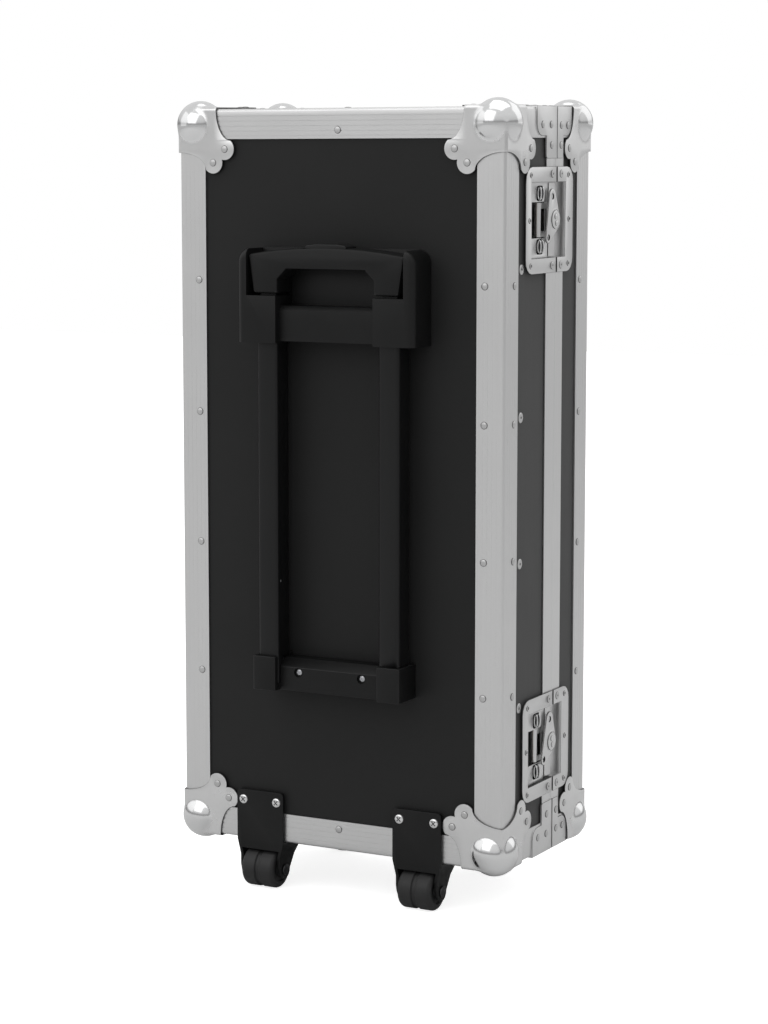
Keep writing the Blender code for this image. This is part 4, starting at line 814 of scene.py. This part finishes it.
def dress(node, material, width, segments, second=None, second_test=None, before=None, angle=28):
    """A merged copy of a CAD node with its hard edges rounded; it takes the node's place."""
    original = frame["nodes"][node]
    obj = bpy.data.objects.new(f"{node}_finished", original.data.copy())
    bpy.context.scene.collection.objects.link(obj)
    edit(obj)
    pick_all()
    bpy.ops.mesh.customdata_custom_splitnormals_clear()
    bpy.ops.mesh.remove_doubles(threshold=2e-6)
    bpy.ops.mesh.dissolve_limited(angle_limit=math.radians(0.5))
    done()
    if before:
        before(obj)
    bevel(obj, width, segments, angle)
    # thin sheet edges are marked as rim, which the finishes tint: wear on aluminium, painted
    # highlight on plastic, painted shade on zinc
    mark_rim(obj, thin_face)
    finish_piece(obj, original["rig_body"], material, (node,))
    if second:
        obj.data.materials.append(second)
        for face in obj.data.polygons:
            face.material_index = int(second_test(face.center))
    return obj


def outside_faces(point):
    """True for what stands proud of the case's outer faces: braces and latch flanges."""
    return (abs(point.x) > RIGHT + OUTSIDE_SKIN or point.z > TOP + OUTSIDE_SKIN
            or point.z < BOTTOM - OUTSIDE_SKIN)


def open_seam(obj):
    """Shear the braces and flanges back at the seam, which leaves a dark line."""
    mean = sum(v.co.y for v in obj.data.vertices) / len(obj.data.vertices)
    way = SEAM_OPENING if mean > SEAM else -SEAM_OPENING
    for vert in obj.data.vertices:
        if outside_faces(vert.co) and abs(vert.co.y - SEAM) < 2 * SEAM_OPENING:
            vert.co.y += way


def seam_edge(face):
    """True for the sheared faces at the seam."""
    return outside_faces(face.center) and abs(face.center.y - SEAM) < SEAM_OPENING


def inner_face(point):
    """True on the inside of the boards, which shows bare plywood."""
    return (abs(point.x) < PANEL - PANEL_INSET
            and FRONT + BOARD_INSET < point.y < REAR - BOARD_INSET
            and BOTTOM + BOARD_INSET < point.z < TOP - BOARD_INSET)


# edge profiles


def ribbed_angle(name, length, groove_depth):
    """Angle profile with rolled grooves: its corner on Z, legs along X (seen from -Y) and Y."""
    legs = []
    for turn in (0, 1):
        deselect()
        bpy.ops.mesh.primitive_plane_add(size=1, location=(0.5, 0, 0.5),
                                         rotation=(math.radians(90), 0, 0))
        leg = bpy.context.object
        bake_place(leg)
        leg.scale = (EDGE_LEG, 1, length)
        bake_place(leg)
        edit(leg)
        for groove in GROOVES:
            cut((groove - GROOVE_WIDTH / 2, 0, 0), (1, 0, 0))
            cut((groove + GROOVE_WIDTH / 2, 0, 0), (1, 0, 0))
        pick(leg, "FACE", lambda f: min(abs(f.calc_center_median().x - groove)
                                        for groove in GROOVES) < GROOVE_WIDTH / 4)
        bpy.ops.mesh.extrude_region_move(TRANSFORM_OT_translate={"value": (0, groove_depth, 0)})
        done()
        if turn:
            place(leg, (0, 0, 0), Y, X, Z)
        legs.append(leg)
    obj = outward(join(name, legs))
    edit(obj)
    pick(obj, "EDGE", lambda e: all(abs(v.co.x) + abs(v.co.y) < 1e-5 for v in e.verts))
    bpy.ops.mesh.bevel(offset=CORNER_RADIUS, segments=4, affect="EDGES")
    done()
    first = min(obj.data.polygons, key=lambda f: f.center.y)
    if first.normal.y > 0:
        flip(obj)
    return apply_modifier(obj, "SOLIDIFY", thickness=SHEET, offset=-1.0)


def edge_profiles():
    """The angles round the front of the base and the rear of the lid."""
    upright = ribbed_angle("upright", TOP - BOTTOM - 2 * EDGE_END, FAINT_GROOVE)
    across = ribbed_angle("across", RIGHT - LEFT - 2 * EDGE_END, GROOVE_DEPTH)
    for half, y, ahead in HALVES:
        for side, x, out in SIDES:
            piece = copy_of(upright, f"{half}_edge_{side}_profile")
            place(piece, (x, y, BOTTOM + EDGE_END), -out * X, -ahead * Y, Z)
            finish_piece(piece, half, ALUMINIUM_UP, (f"{half}_edge_{side}",))
        for level, z, up in LEVELS:
            piece = copy_of(across, f"{half}_edge_{level}_profile")
            place(piece, (LEFT + EDGE_END, y, z), -up * Z, -ahead * Y, X)
            finish_piece(piece, half, ALUMINIUM_ACROSS, (f"{half}_edge_{level}",))
    for spare in (upright, across):
        bpy.data.objects.remove(spare, do_unlink=True)


# ball corners


def arc(u, v, radius, start, end, steps):
    """Points on a circle from one angle to another, in degrees."""
    angles = [math.radians(start + (end - start) * i / steps) for i in range(steps + 1)]
    return [(u + radius * math.cos(a), v + radius * math.sin(a)) for a in angles]


def flange_outline():
    """Edge of one flange: two round lobes and bowed sides."""
    skin = FLANGE_GAP + FLANGE
    notch = 135 - math.degrees(math.acos((LOBE_FAR - LOBE_NEAR) / (LOBE * math.sqrt(2))))
    lobe = arc(LOBE_FAR, LOBE_NEAR, LOBE, -LOBE_START, notch, 16)
    far, rise = lobe[0]
    angles = [math.pi / 2 * i / 10 for i in range(10)]
    bow = [(far - (far - FLANGE_REACH) * math.cos(a), rise * math.sin(a)) for a in angles]
    half = [(FLANGE_REACH, -skin)] + bow + lobe
    return [(-skin, -skin)] + half + [(v, u) for u, v in reversed(half)][1:]


def sheet_from(name, outline):
    """A flat face in the XY plane with the given edge."""
    deselect()
    bpy.ops.mesh.primitive_circle_add(vertices=len(outline), radius=1, fill_type="NGON")
    obj = bpy.context.object
    obj.name = name
    for vert, (u, v) in zip(obj.data.vertices, outline):
        vert.co = (u, v, 0.0)
    return obj


def pressed(point):
    """Where the press takes a point of the folded sheet: round folds, then out over the ball."""
    start = FOLD - FLANGE_GAP - FLANGE
    inner = Vector(max(c, start) for c in point)
    point = inner - (inner - point).normalized() * FOLD
    centre = Vector((BALL_INSET,) * 3)
    ray = point - centre
    reach = ray.length
    way = ray / reach
    slope = -(way.x + way.y + way.z)
    if slope > 0.0:
        reach = min(reach, (3 * BALL_INSET - TIP) / slope)
    blend = max(BALL_BLEND - abs(reach - BALL), 0.0)
    return centre + way * (max(reach, BALL) + blend * blend / (4 * BALL_BLEND))


def ball_corner():
    """Pressed corner with its ball: three flanges folded from one sheet."""
    skin = FLANGE_GAP + FLANGE
    base = sheet_from("flange", flange_outline())
    edit(base)
    start = FOLD - skin
    lines = [start - FOLD * math.tan(math.radians(a)) for a in (36, 27, 18, 9)] + [start]
    count = round((GRID_END - start) / GRID_STEP)
    lines += [start + GRID_STEP * (i + 1) for i in range(count)]
    for line in lines:
        cut((line, 0, 0), (1, 0, 0))
        cut((0, line, 0), (0, 1, 0))
    done()
    flanges = []
    for a, b, c in ((X, Y, Z), (Y, Z, X), (Z, X, Y)):
        flanges.append(place(copy_of(base, "flange"), -skin * c, a, b, c))
    bpy.data.objects.remove(base, do_unlink=True)
    corner = outward(join("ball_corner", flanges))
    if max(corner.data.polygons, key=lambda f: f.center.x).normal.dot(Vector((1, 1, 1))) > 0:
        flip(corner)
    for vert in corner.data.vertices:
        vert.co = pressed(vert.co)
    for _ in range(2):
        corner.data.materials.append(None)
    apply_modifier(corner, "SOLIDIFY", thickness=FLANGE, offset=-1.0, use_even_offset=True,
                   material_offset_rim=1)
    # the sheet's rim is marked, which the zinc paints dark as shade
    mark_rim(corner, lambda face: face.material_index == 1)
    return bevel(corner, 0.0003, 2, 50)


def ball_corners():
    """Eight placed copies of the corner."""
    master = ball_corner()
    for half, y, ahead in HALVES:
        for level, z, up in LEVELS:
            for side, x, out in SIDES:
                node = f"{half}_ball_corner_{level}_{side}"
                corner, inward = Vector((x, y, z)), (-out * X, -ahead * Y, -up * Z)
                piece = place(copy_of(master, f"{node}_pressed"), corner, *inward)
                finish_piece(piece, half, CORNER_ZINC, (node,))
                middle = corner + BALL_INSET * sum(inward, Vector())
                piece.data.materials.append(BRIGHT_ZINC)
                for face in piece.data.polygons:
                    face.material_index = int((face.center - middle).length < BALL + BALL_SKIN)
    bpy.data.objects.remove(master, do_unlink=True)


# rivets and screws


def rivet_head(radius):
    """A low domed head on the XY plane; its rim is marked, which the zinc finishes paint dark as
    shade.
    """
    deselect()
    bpy.ops.mesh.primitive_uv_sphere_add(segments=20, ring_count=12, radius=radius)
    obj = bpy.context.object
    edit(obj)
    pick_all()
    bpy.ops.mesh.bisect(plane_co=(0, 0, 0), plane_no=(0, 0, 1), clear_inner=True, use_fill=True)
    done()
    obj.scale = (1, 1, RIVET_RISE)
    return mark_rim(bake_place(obj), lambda face: face.center.xy.length > 0.9 * radius)


def hollow_head(radius):
    """A rolled tubular rivet: a low ring round a sunk middle."""
    profile = [(0.0, -0.1), (0.42, -0.1), (0.5, 0.2), (0.66, 0.3), (0.85, 0.2), (1.0, -0.05)]
    profile.append((0.0, -0.2))
    obj = spun("head", [(radius * r, radius * h) for r, h in profile], (0, 0, 0), Z, 18)
    # the marked faces get painted shade in the zinc finishes
    return mark_rim(obj, lambda face: not 0.48 * radius < face.center.xy.length < 0.88 * radius)


def flat_head(radius):
    """A wide flat head with a round edge and a shallow middle."""
    profile = [(0.0, 0.13), (0.14, 0.13), (0.24, 0.2), (0.72, 0.2), (0.9, 0.14), (1.0, -0.02)]
    profile.append((0.0, -0.02))
    obj = spun("head", [(radius * r, radius * h) for r, h in profile], (0, 0, 0), Z, 24)
    # the marked faces get painted shade in the zinc finishes
    return mark_rim(obj, lambda face: not 0.24 * radius < face.center.xy.length < 0.93 * radius)


def screw_head(radius):
    """A pan head with a cross recess, on the XY plane."""
    head = rivet_head(radius)
    long, short = (radius * share for share in SCREW_SLOT)
    for x, y in ((long, short), (short, long)):
        arm = block("arm", (-x, -y, radius * SLOT_BOTTOM), (x, y, radius))
        boolean(head, arm, "DIFFERENCE")
    # the cross recess and the head's underside are marked as rim: painted shade in the zinc finish
    rim = radius * (SLOT_BOTTOM + 0.01)
    return mark_rim(head, lambda face: face.normal.z < 0.4 or face.center.z < rim)


def set_heads(name, body, spots, maker, material, angle=32):
    """Heads at (place, outward direction, radius) as one piece; each size is made once."""
    masters = {}
    heads = []
    for spot, out, radius in spots:
        if radius not in masters:
            masters[radius] = maker(radius)
        head = copy_of(masters[radius], "head")
        heads.append(stand(head, Vector(spot) - Vector(out) * HEAD_SUNK, out))
    for master in masters.values():
        bpy.data.objects.remove(master, do_unlink=True)
    finish_piece(join(name, heads), body, material, angle=angle)


def rivets(name, body, spots, material=RIVET_ZINC):
    """Rivets of several kinds, told by their radius."""
    kinds = {HOLLOW_RIVET: hollow_head, LARGE_RIVET: flat_head, SEAM_RIVET: flat_head}
    set_heads(name, body, spots, lambda radius: kinds.get(radius, rivet_head)(radius),
              material, 50)


def profile_rivet_spots(y, ahead):
    """Rivets of the edge profiles of one half of the case."""
    spots = []
    for side, x, out in SIDES:
        for dz in PROFILE_RIVETS:
            spots.append(((x - out * RIVET_LINE, y, MIDDLE + dz), ahead * Y, RIVET))
            spots.append(((x, y - ahead * RIVET_LINE, MIDDLE + dz), out * X, RIVET))
    for level, z, up in LEVELS:
        spots.append(((0, y, z - up * RIVET_LINE), ahead * Y, RIVET))
        spots.append(((0, y - ahead * RIVET_LINE, z), up * Z, RIVET))
    return spots


def corner_rivet_spots(y, ahead):
    """Rivets in the lobes of the ball corners of one half."""
    lift = FLANGE_GAP + FLANGE
    spots = []
    for side, x, out in SIDES:
        for level, z, up in LEVELS:
            for u, v in ((LOBE_FAR, LOBE_NEAR), (LOBE_NEAR, LOBE_FAR)):
                spots.append(((x - out * u, y + ahead * lift, z - up * v), ahead * Y, RIVET))
                spots.append(((x + out * lift, y - ahead * u, z - up * v), out * X, RIVET))
                spots.append(((x - out * u, y - ahead * v, z + up * lift), up * Z, RIVET))
    return spots


def brace_rivet_spots(half):
    """Rivets of the corner braces of one half."""
    spots = []
    for side, x, out in SIDES:
        for level, z, up in LEVELS:
            for along, drop in BRACE_RIVETS[half]:
                y = SEAM + along
                spots.append(((x + out * BRACE_SHEET, y, z - up * drop), out * X, RIVET))
                spots.append(((x - out * drop, y, z + up * BRACE_SHEET), up * Z, RIVET))
    return spots


def latch_rivet_spots(half):
    """Rivets round the latch flanges of one half."""
    x = RIGHT + LATCH_PROUD
    spots = []
    for level in ("upper", "lower"):
        edge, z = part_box(f"{level}_latch_dish")[0].y, middle_of(f"{level}_latch_dish").z
        if half == "base":
            far, middle, near = edge + DISH_FAR, edge + DISH_MIDDLE, SEAM - DISH_NEAR
        else:
            far, middle, near = SEAM + KEEPER_FAR, SEAM + KEEPER_MIDDLE, SEAM + KEEPER_NEAR
        for sign in (-1, 1):
            spots.append(((x, far, z + sign * LATCH_ROW), X, HOLLOW_RIVET))
            spots.append(((x, near, z + sign * SEAM_ROW), X, SEAM_RIVET))
        spots.append(((x, middle, z), X, HOLLOW_RIVET))
    return spots


def all_rivets():
    """The rivets of the case, one piece for the base and one for the lid."""
    for half, y, ahead in HALVES:
        spots = profile_rivet_spots(y, ahead) + corner_rivet_spots(y, ahead)
        spots += brace_rivet_spots(half) + latch_rivet_spots(half)
        if half == "base":
            for dz in FLOOR_RIVETS:
                for out in (1, -1):
                    spot = (out * PANEL, FRONT + FLOOR_RIVET_LINE, MIDDLE + dz)
                    spots.append((spot, out * X, LARGE_RIVET))
        rivets(f"{half}_rivets", half, spots)


def all_screws():
    """Cross-head screws at the wheels and in the handle's lower bracket, and a tube's rivet."""
    spots = []
    for side in ("left", "right"):
        middle = middle_of(f"wheel_bracket_{side}").x
        for dx in (-WHEEL_SCREW_X, WHEEL_SCREW_X):
            spot = (middle + dx, FRONT - WHEEL_BRACKET_PROUD, BOTTOM + WHEEL_SCREW_RISE)
            spots.append((spot, -Y, SCREW))
    set_heads("wheel_bracket_screws", "base", spots, screw_head, BRIGHT_ZINC)
    spots = [((HANDLE_X + dx, BRIDGE_FRONT + SINK_DEPTH, BRIDGE_SCREW_Z), -Y, BRIDGE_SCREW)
             for dx in (-BRIDGE_SCREW_X, BRIDGE_SCREW_X)]
    set_heads("lower_bracket_screws", "base", spots, screw_head, STEEL)
    rivets("tube_rivet", "base", [(TUBE_RIVET_SPOT, X, TUBE_RIVET)], STEEL)


# handle


def round_outside(obj):
    """Round the housing's outline from the front: both sides and the top, with its corners."""
    low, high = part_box("handle_housing")
    skin, over = MOULD_SKIN, MOULD_OVER
    mould = block("mould", low + Vector((skin, skin, 0)), high + Vector((-skin, over, -skin)))
    edit(mould)
    pick(mould, "EDGE", lambda e: all(v.co.z > high.z - 0.001 for v in e.verts)
         and abs(e.verts[0].co.x - e.verts[1].co.x) < 1e-5)
    bpy.ops.mesh.bevel(offset=EAR_RADIUS, segments=10, affect="EDGES")
    pick(mould, "EDGE", lambda e: all(abs(v.co.y - low.y) < 0.0001 for v in e.verts)
         and any(v.co.z > low.z + 0.001 for v in e.verts))
    bpy.ops.mesh.bevel(offset=OUTSIDE_RADIUS, segments=7, affect="EDGES")
    pick(mould, "FACE", lambda f: all(abs(v.co.z - low.z) < 0.0001 for v in f.verts))
    bpy.ops.mesh.extrude_region_move(TRANSFORM_OT_translate={"value": (0, 0, -over)})
    done()
    boolean(obj, outward(mould), "INTERSECT")


def handle():
    """The handle's mouldings and tubes."""
    dress("handle_housing", PLASTIC, 0.0006, 3, before=round_outside)
    bracket = dress("handle_lower_bracket", PLASTIC, 0.0008, 3)
    for dx in (-BRIDGE_SCREW_X, BRIDGE_SCREW_X):
        spot = (HANDLE_X + dx, BRIDGE_FRONT, BRIDGE_SCREW_Z)
        boolean(bracket, disc("sink", spot, Y, SINK_RADIUS, 2 * SINK_DEPTH, 28), "DIFFERENCE")
    smooth(bracket)
    dress("release_button", PLASTIC, 0.0008, 3)
    dress("grip", PLASTIC, 0.0004, 2, angle=50)
    for side in ("left", "right"):
        dress(f"outer_tube_{side}", TUBE, 0.0003, 1)
        dress(f"inner_tube_{side}", TUBE, 0.0003, 1)


# wheels and feet


def quarter(radius, height, turn, steps, start=0):
    """Points of a rounded shoulder, (radius, height), from below outwards."""
    angles = [math.radians(90 * i / steps) for i in range(start, steps + 1)]
    return [(radius - turn + turn * math.sin(a), height + turn - turn * math.cos(a))
            for a in angles]


def wheel(side):
    """Tread, hub and groove of a wheel, turned as one body."""
    low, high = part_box(f"wheel_{side}")
    radius, half = (high.z - low.z) / 2, (high.x - low.x) / 2
    profile = [(r, -half + depth) for r, depth in HUB_STEPS]
    profile.append((radius - TREAD_TURN - TREAD_FLAT, -half))
    profile += quarter(radius, -half, TREAD_TURN, 6, 1)
    profile += [(radius - depth, -width) for depth, width in TREAD_GROOVE]
    profile += [(r, -h) for r, h in reversed(profile[:-1])]
    tread = spun(f"wheel_{side}_tread", profile, middle_of(f"wheel_{side}"), X, 64)
    finish_piece(tread, f"wheel_{side}", TREAD, (f"wheel_{side}",))


def foot(side):
    """A rear foot: a collar and a slightly tapered leg with a round end."""
    low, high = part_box(f"rear_foot_{side}")
    middle = middle_of(f"rear_foot_{side}")
    wide = (high.x - low.x) / 2
    profile = [(0.0, high.z), (wide, high.z), (wide, high.z - FOOT_COLLAR)]
    profile += quarter(wide - FOOT_TAPER, low.z, FOOT_TURN, 5)[::-1]
    profile.append((0.0, low.z))
    piece = spun(f"rear_foot_{side}_moulding", profile, (middle.x, middle.y, 0), Z, 48)
    finish_piece(piece, "lid", PLASTIC, (f"rear_foot_{side}",))


def wheels():
    """Wheels with their brackets and axles, and the rear feet."""
    for side in ("left", "right"):
        wheel(side)
        dress(f"wheel_bracket_{side}", PLASTIC, 0.0007, 2)
        dress(f"axle_{side}", BLACK_STEEL, 0.0003, 2)
        foot(side)


# latches, hinge, boards


def belt(circles):
    """The edge of a plate that goes round several circles (u, v, radius), in turn."""
    normals = []
    for (u, v, radius), (u2, v2, radius2) in zip(circles, circles[1:] + circles[:1]):
        way = math.atan2(v2 - v, u2 - u)
        span = math.hypot(u2 - u, v2 - v)
        normals.append(math.degrees(way - math.acos((radius - radius2) / span)))
    outline = []
    for i, (u, v, radius) in enumerate(circles):
        start, end = normals[i - 1], normals[i]
        outline += arc(u, v, radius, start, start + (end - start) % 360, 14)
    return outline


def wing_tips(level, centre):
    """Middle and radius of the two wing tips, lower one first."""
    tips = []
    for angle, arm, radius in WING_TIPS:
        spot = arc(*centre, arm, 180 - WING_TILT[level] + angle, 0, 1)[0]
        tips.append((*spot, radius))
    return tips


def stamped_wings(level, y, z, face):
    """The butterfly's plate with its two holes, its edges rounded."""
    lower, upper = wing_tips(level, (y, z))
    wings = sheet_from(f"{level}_latch_wings", belt([(y, z, WING_RIM), upper, lower]))
    place(wings, (face - WING_SHEET, 0, 0), Y, Z, X)
    edit(wings)
    pick_all()
    bpy.ops.mesh.extrude_region_move(TRANSFORM_OT_translate={"value": (WING_SHEET, 0, 0)})
    done()
    outward(wings)
    holes = [lower[:2], upper[:2]]
    for spot in holes:
        boolean(wings, disc("hole", (face, *spot), X, WING_HOLE, 0.01, 20), "DIFFERENCE")
    return bevel(wings, 0.0004, 2, 40), [Vector(spot) for spot in holes]


def butterfly(level):
    """Stamped wings, a low boss with its ring and two knobs, hub and crank pin."""
    y, z = SEAM - TWIST_FROM_SEAM, middle_of(f"{level}_latch_dish").z
    face = RIGHT + WING_FACE
    wings, holes = stamped_wings(level, y, z, face)
    boss = spun("boss", [(r / 1000, h / 1000) for r, h in BOSS], (face, y, z), X, 40)
    # the boss's groove is marked as rim, so the zinc paints it dark as shade
    near, far = BOSS_SHADED_GROOVE
    mark_rim(boss, lambda f: near < math.hypot(f.center.y - y, f.center.z - z) < far)
    boolean(wings, boss, "UNION")
    for dy, dz in KNOB_SPOTS:
        knob = place(rivet_head(KNOB), (face + KNOB_RISE, y + dy, z + dz), Y, Z, X)
        boolean(wings, knob, "UNION")
    under = RIGHT - CARRIER_BOTTOM
    crank = (y + CRANK_SPOT[0], z + CRANK_SPOT[1])
    for centre, radius, bottom in (((y, z), HUB, under),
                                   (crank, CRANK, under - FLANGE_GAP - WING_SHEET)):
        length = face - WING_SHEET / 2 - bottom
        bar = disc("bar", (bottom + length / 2, *centre), X, radius, length, 24)
        boolean(wings, bar, "UNION")
    finish_piece(wings, f"{level}_butterfly", SATIN_ZINC,
                 (f"{level}_latch_butterfly",), angle=40)
    # painted shade on the walls of the wings' two holes
    wings.data.materials.append(PAINTED_SHADE)
    for face in wings.data.polygons:
        middle = Vector(face.center.yz)
        if any((middle - hole).length < WING_HOLE + 0.0001 for hole in holes):
            face.material_index = 1


def in_shadow(level):
    """A test for faces in the pressed dish behind its tabs, which take the painted shade material.
    """
    middle = middle_of(f"{level}_latch_dish").z

    def test(point):
        within = (abs(point.z - middle) < RECESS_HALF and point.x > RIGHT - RECESS_BACK
                  and point.y > SEAM - RECESS_FAR)
        behind_tabs = point.x < RIGHT - TAB_BACK and point.y < SEAM - TAB_END
        return within and (behind_tabs or point.x < RIGHT - RECESS_FLOOR)
    return test


def shape_dish(obj):
    """Set the dish's far wall out to where the flange is narrow, and open the seam."""
    open_seam(obj)
    wall = min(v.co.y for v in obj.data.vertices) + RECESS_FROM_EDGE
    for vert in obj.data.vertices:
        if wall - WALL_BEHIND < vert.co.y < wall + WALL_AHEAD:
            vert.co.y -= RECESS_WIDER


def shape_carrier(obj):
    """Leave a dark gap between the dish's tabs and the carrier's head."""
    for vert in obj.data.vertices:
        if abs(vert.co.y - (SEAM - HEAD_EDGE)) < HEAD_SPAN:
            vert.co.y += HEAD_SHORTER


def seam_shade_strips():
    """Painted shade: dark strips where the joint between the latch flanges shows, above and below
    the recess.
    """
    strips = []
    (back, front), (far, near), (end, start) = STRIP_DEPTHS, STRIP_WIDTHS, STRIP_ENDS
    for level in ("upper", "lower"):
        low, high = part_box(f"{level}_latch_dish")
        for z0, z1 in ((low.z + end, low.z + start), (high.z - start, high.z - end)):
            strips.append(block("strip", (RIGHT + back, SEAM - far, z0),
                                (RIGHT + front, SEAM - near, z1)))
    strips = bevel(join("latch_seam_strips", strips), 0.0001, 1)
    finish_piece(strips, "base", PAINTED_SHADE)


def spring(level):
    """The ends of the spring that stand in the tabs' slots, and the wire between them."""
    z = middle_of(f"{level}_latch_dish").z
    y = SEAM - PIN_FROM_SEAM - SPRING_SHIFT
    pieces = []
    for sign in (-1, 1):
        for dy in (-LOOP_APART, LOOP_APART):
            deselect()
            bpy.ops.mesh.primitive_torus_add(major_radius=LOOP, minor_radius=LOOP_WIRE,
                                             major_segments=28, minor_segments=10)
            loop = bpy.context.object
            for vert in loop.data.vertices:
                vert.co.y -= LOOP_NARROWER * math.sin(math.atan2(vert.co.y, vert.co.x))
            spot = (RIGHT - LOOP_DEPTH, y + dy, z + sign * COIL_MIDDLE)
            pieces.append(place(loop, spot, Z, X, Y))
    y -= LOOP_APART
    pieces.append(disc("wire", (RIGHT - WIRE_DEPTH, y, z), Z, WIRE, WIRE_LENGTH, 10))
    for sign in (-1, 1):
        spot = (RIGHT - LEG_DEPTH, y, z + sign * LEG_MIDDLE)
        pieces.append(disc("leg", spot, X, WIRE, LEG_LENGTH, 10))
    finish_piece(join(f"{level}_spring", pieces), "base", SATIN_ZINC,
                 (f"{level}_latch_spring",))


def latches():
    """The latches' pressed and folded parts."""
    seam_shade_strips()
    for level in ("upper", "lower"):
        # the inside of the recess behind the tabs takes the painted shade material
        dish = dress(f"{level}_latch_dish", SATIN_ZINC, 0.0004, 2, second=PAINTED_SHADE,
                     second_test=in_shadow(level), before=shape_dish)
        # the sheared seam faces are marked as rim and painted dark as shade
        mark_rim(dish, seam_edge)
        dress(f"{level}_latch_keeper", SATIN_ZINC, 0.0004, 2)
        dress(f"{level}_latch_carrier", SATIN_ZINC, 0.0003, 1, before=shape_carrier)
        dress(f"{level}_latch_hook", ZINC, 0.0002, 1)
        spring(level)
        butterfly(level)


def boards_and_closures():
    """Panels, closures, hinge and what is inside."""
    for node in ("base_face_panel", "base_walls", "lid_panel", "lid_walls"):
        dress(node, LAMINATE, 0.0003, 1, second=PLYWOOD, second_test=inner_face)
    for half in ("base", "lid"):
        closure = dress(f"{half}_closure_frame", ALUMINIUM_UP, 0.0004, 2, second=SATIN_ZINC,
                        second_test=outside_faces, before=open_seam)
        # the sheared seam faces are marked as rim and painted dark as shade
        mark_rim(closure, seam_edge)
        dress(f"{half}_closure_bar", ALUMINIUM_UP, 0.0003, 1)
        dress(f"hinge_leaf_{half}", ZINC, 0.0002, 1)
    for node in ("inner_floor", "divider"):
        dress(node, PLYWOOD, 0.0004, 1)
    for node in ("lock_yoke", "lock_pin_left", "lock_pin_right"):
        dress(node, STEEL, 0.0002, 1)


# studio


def surroundings():
    """White behind the object; as a light, softer, with a dark band over the horizon."""
    world = bpy.data.worlds.new("surroundings")
    bpy.context.scene.world = world
    world.use_nodes = True
    tree = world.node_tree
    background = tree.nodes["Background"]
    background.inputs["Color"].default_value = (1.0, 1.0, 1.0, 1.0)
    seen = tree.nodes.new("ShaderNodeLightPath").outputs["Is Camera Ray"]
    way = tree.nodes.new("ShaderNodeTexCoord").outputs["Generated"]
    split = tree.nodes.new("ShaderNodeSeparateXYZ")
    rise = tree.nodes.new("ShaderNodeValToRGB")
    ramp = rise.color_ramp.elements
    while len(ramp) < len(SKY):
        ramp.new(1.0)
    for stop, (height, light) in zip(ramp, SKY):
        stop.position = height
        stop.color = (light, light, light, 1.0)
    tree.links.new(way, split.inputs[0])
    tree.links.new(split.outputs["Z"], rise.inputs["Fac"])
    mix = tree.nodes.new("ShaderNodeMix")
    mix.inputs["B"].default_value = 1.0
    tree.links.new(seen, mix.inputs["Factor"])
    tree.links.new(rise.outputs["Color"], mix.inputs["A"])
    tree.links.new(mix.outputs["Result"], background.inputs["Strength"])


def studio():
    """Pale floor, white surroundings and soft lights."""
    deselect()
    bpy.ops.mesh.primitive_plane_add(size=FLOOR_SIZE, location=(0, 0, 0))
    floor = bpy.context.object
    floor.name = "floor"
    paint = Finish("floor_paint", (0.66, 0.66, 0.66), 0.8, specular=0.1)
    paint.shader.inputs["Emission Color"].default_value = (1.0, 1.0, 1.0, 1.0)
    seen = paint.tree.nodes.new("ShaderNodeLightPath").outputs["Is Camera Ray"]
    glow = math_node(paint.tree, "MULTIPLY", seen, FLOOR_GLOW)
    paint.tree.links.new(glow, paint.shader.inputs["Emission Strength"])
    floor.data.materials.append(paint.material)
    surroundings()
    for name, spot, size, power in LAMPS:
        lamp = bpy.data.lights.new(name, "AREA")
        lamp.size = size
        lamp.energy = power
        obj = bpy.data.objects.new(name, lamp)
        obj.location = spot
        aim = Vector((0, 0, MIDDLE)) - Vector(spot)
        obj.rotation_euler = aim.to_track_quat("-Z", "Y").to_euler()
        bpy.context.scene.collection.objects.link(obj)
    bpy.context.scene.view_settings.view_transform = "Standard"


def camera():
    """The photograph's viewing angle."""
    lens = bpy.data.cameras.new("camera")
    lens.lens = CAMERA_LENS
    lens.sensor_width = 36.0
    lens.shift_x, lens.shift_y = CAMERA_SHIFT
    obj = bpy.data.objects.new("camera", lens)
    aim = Matrix.Translation(CAMERA_PLACE)
    for degrees, axis in ((CAMERA_YAW, "Z"), (90 - CAMERA_PITCH, "X"), (CAMERA_ROLL, "Z")):
        aim = aim @ Matrix.Rotation(math.radians(degrees), 4, axis)
    obj.matrix_world = aim
    bpy.context.scene.collection.objects.link(obj)
    bpy.context.scene.camera = obj


camera()
studio()
boards_and_closures()
edge_profiles()
ball_corners()
latches()
handle()
wheels()
all_rivets()
all_screws()
deselect()
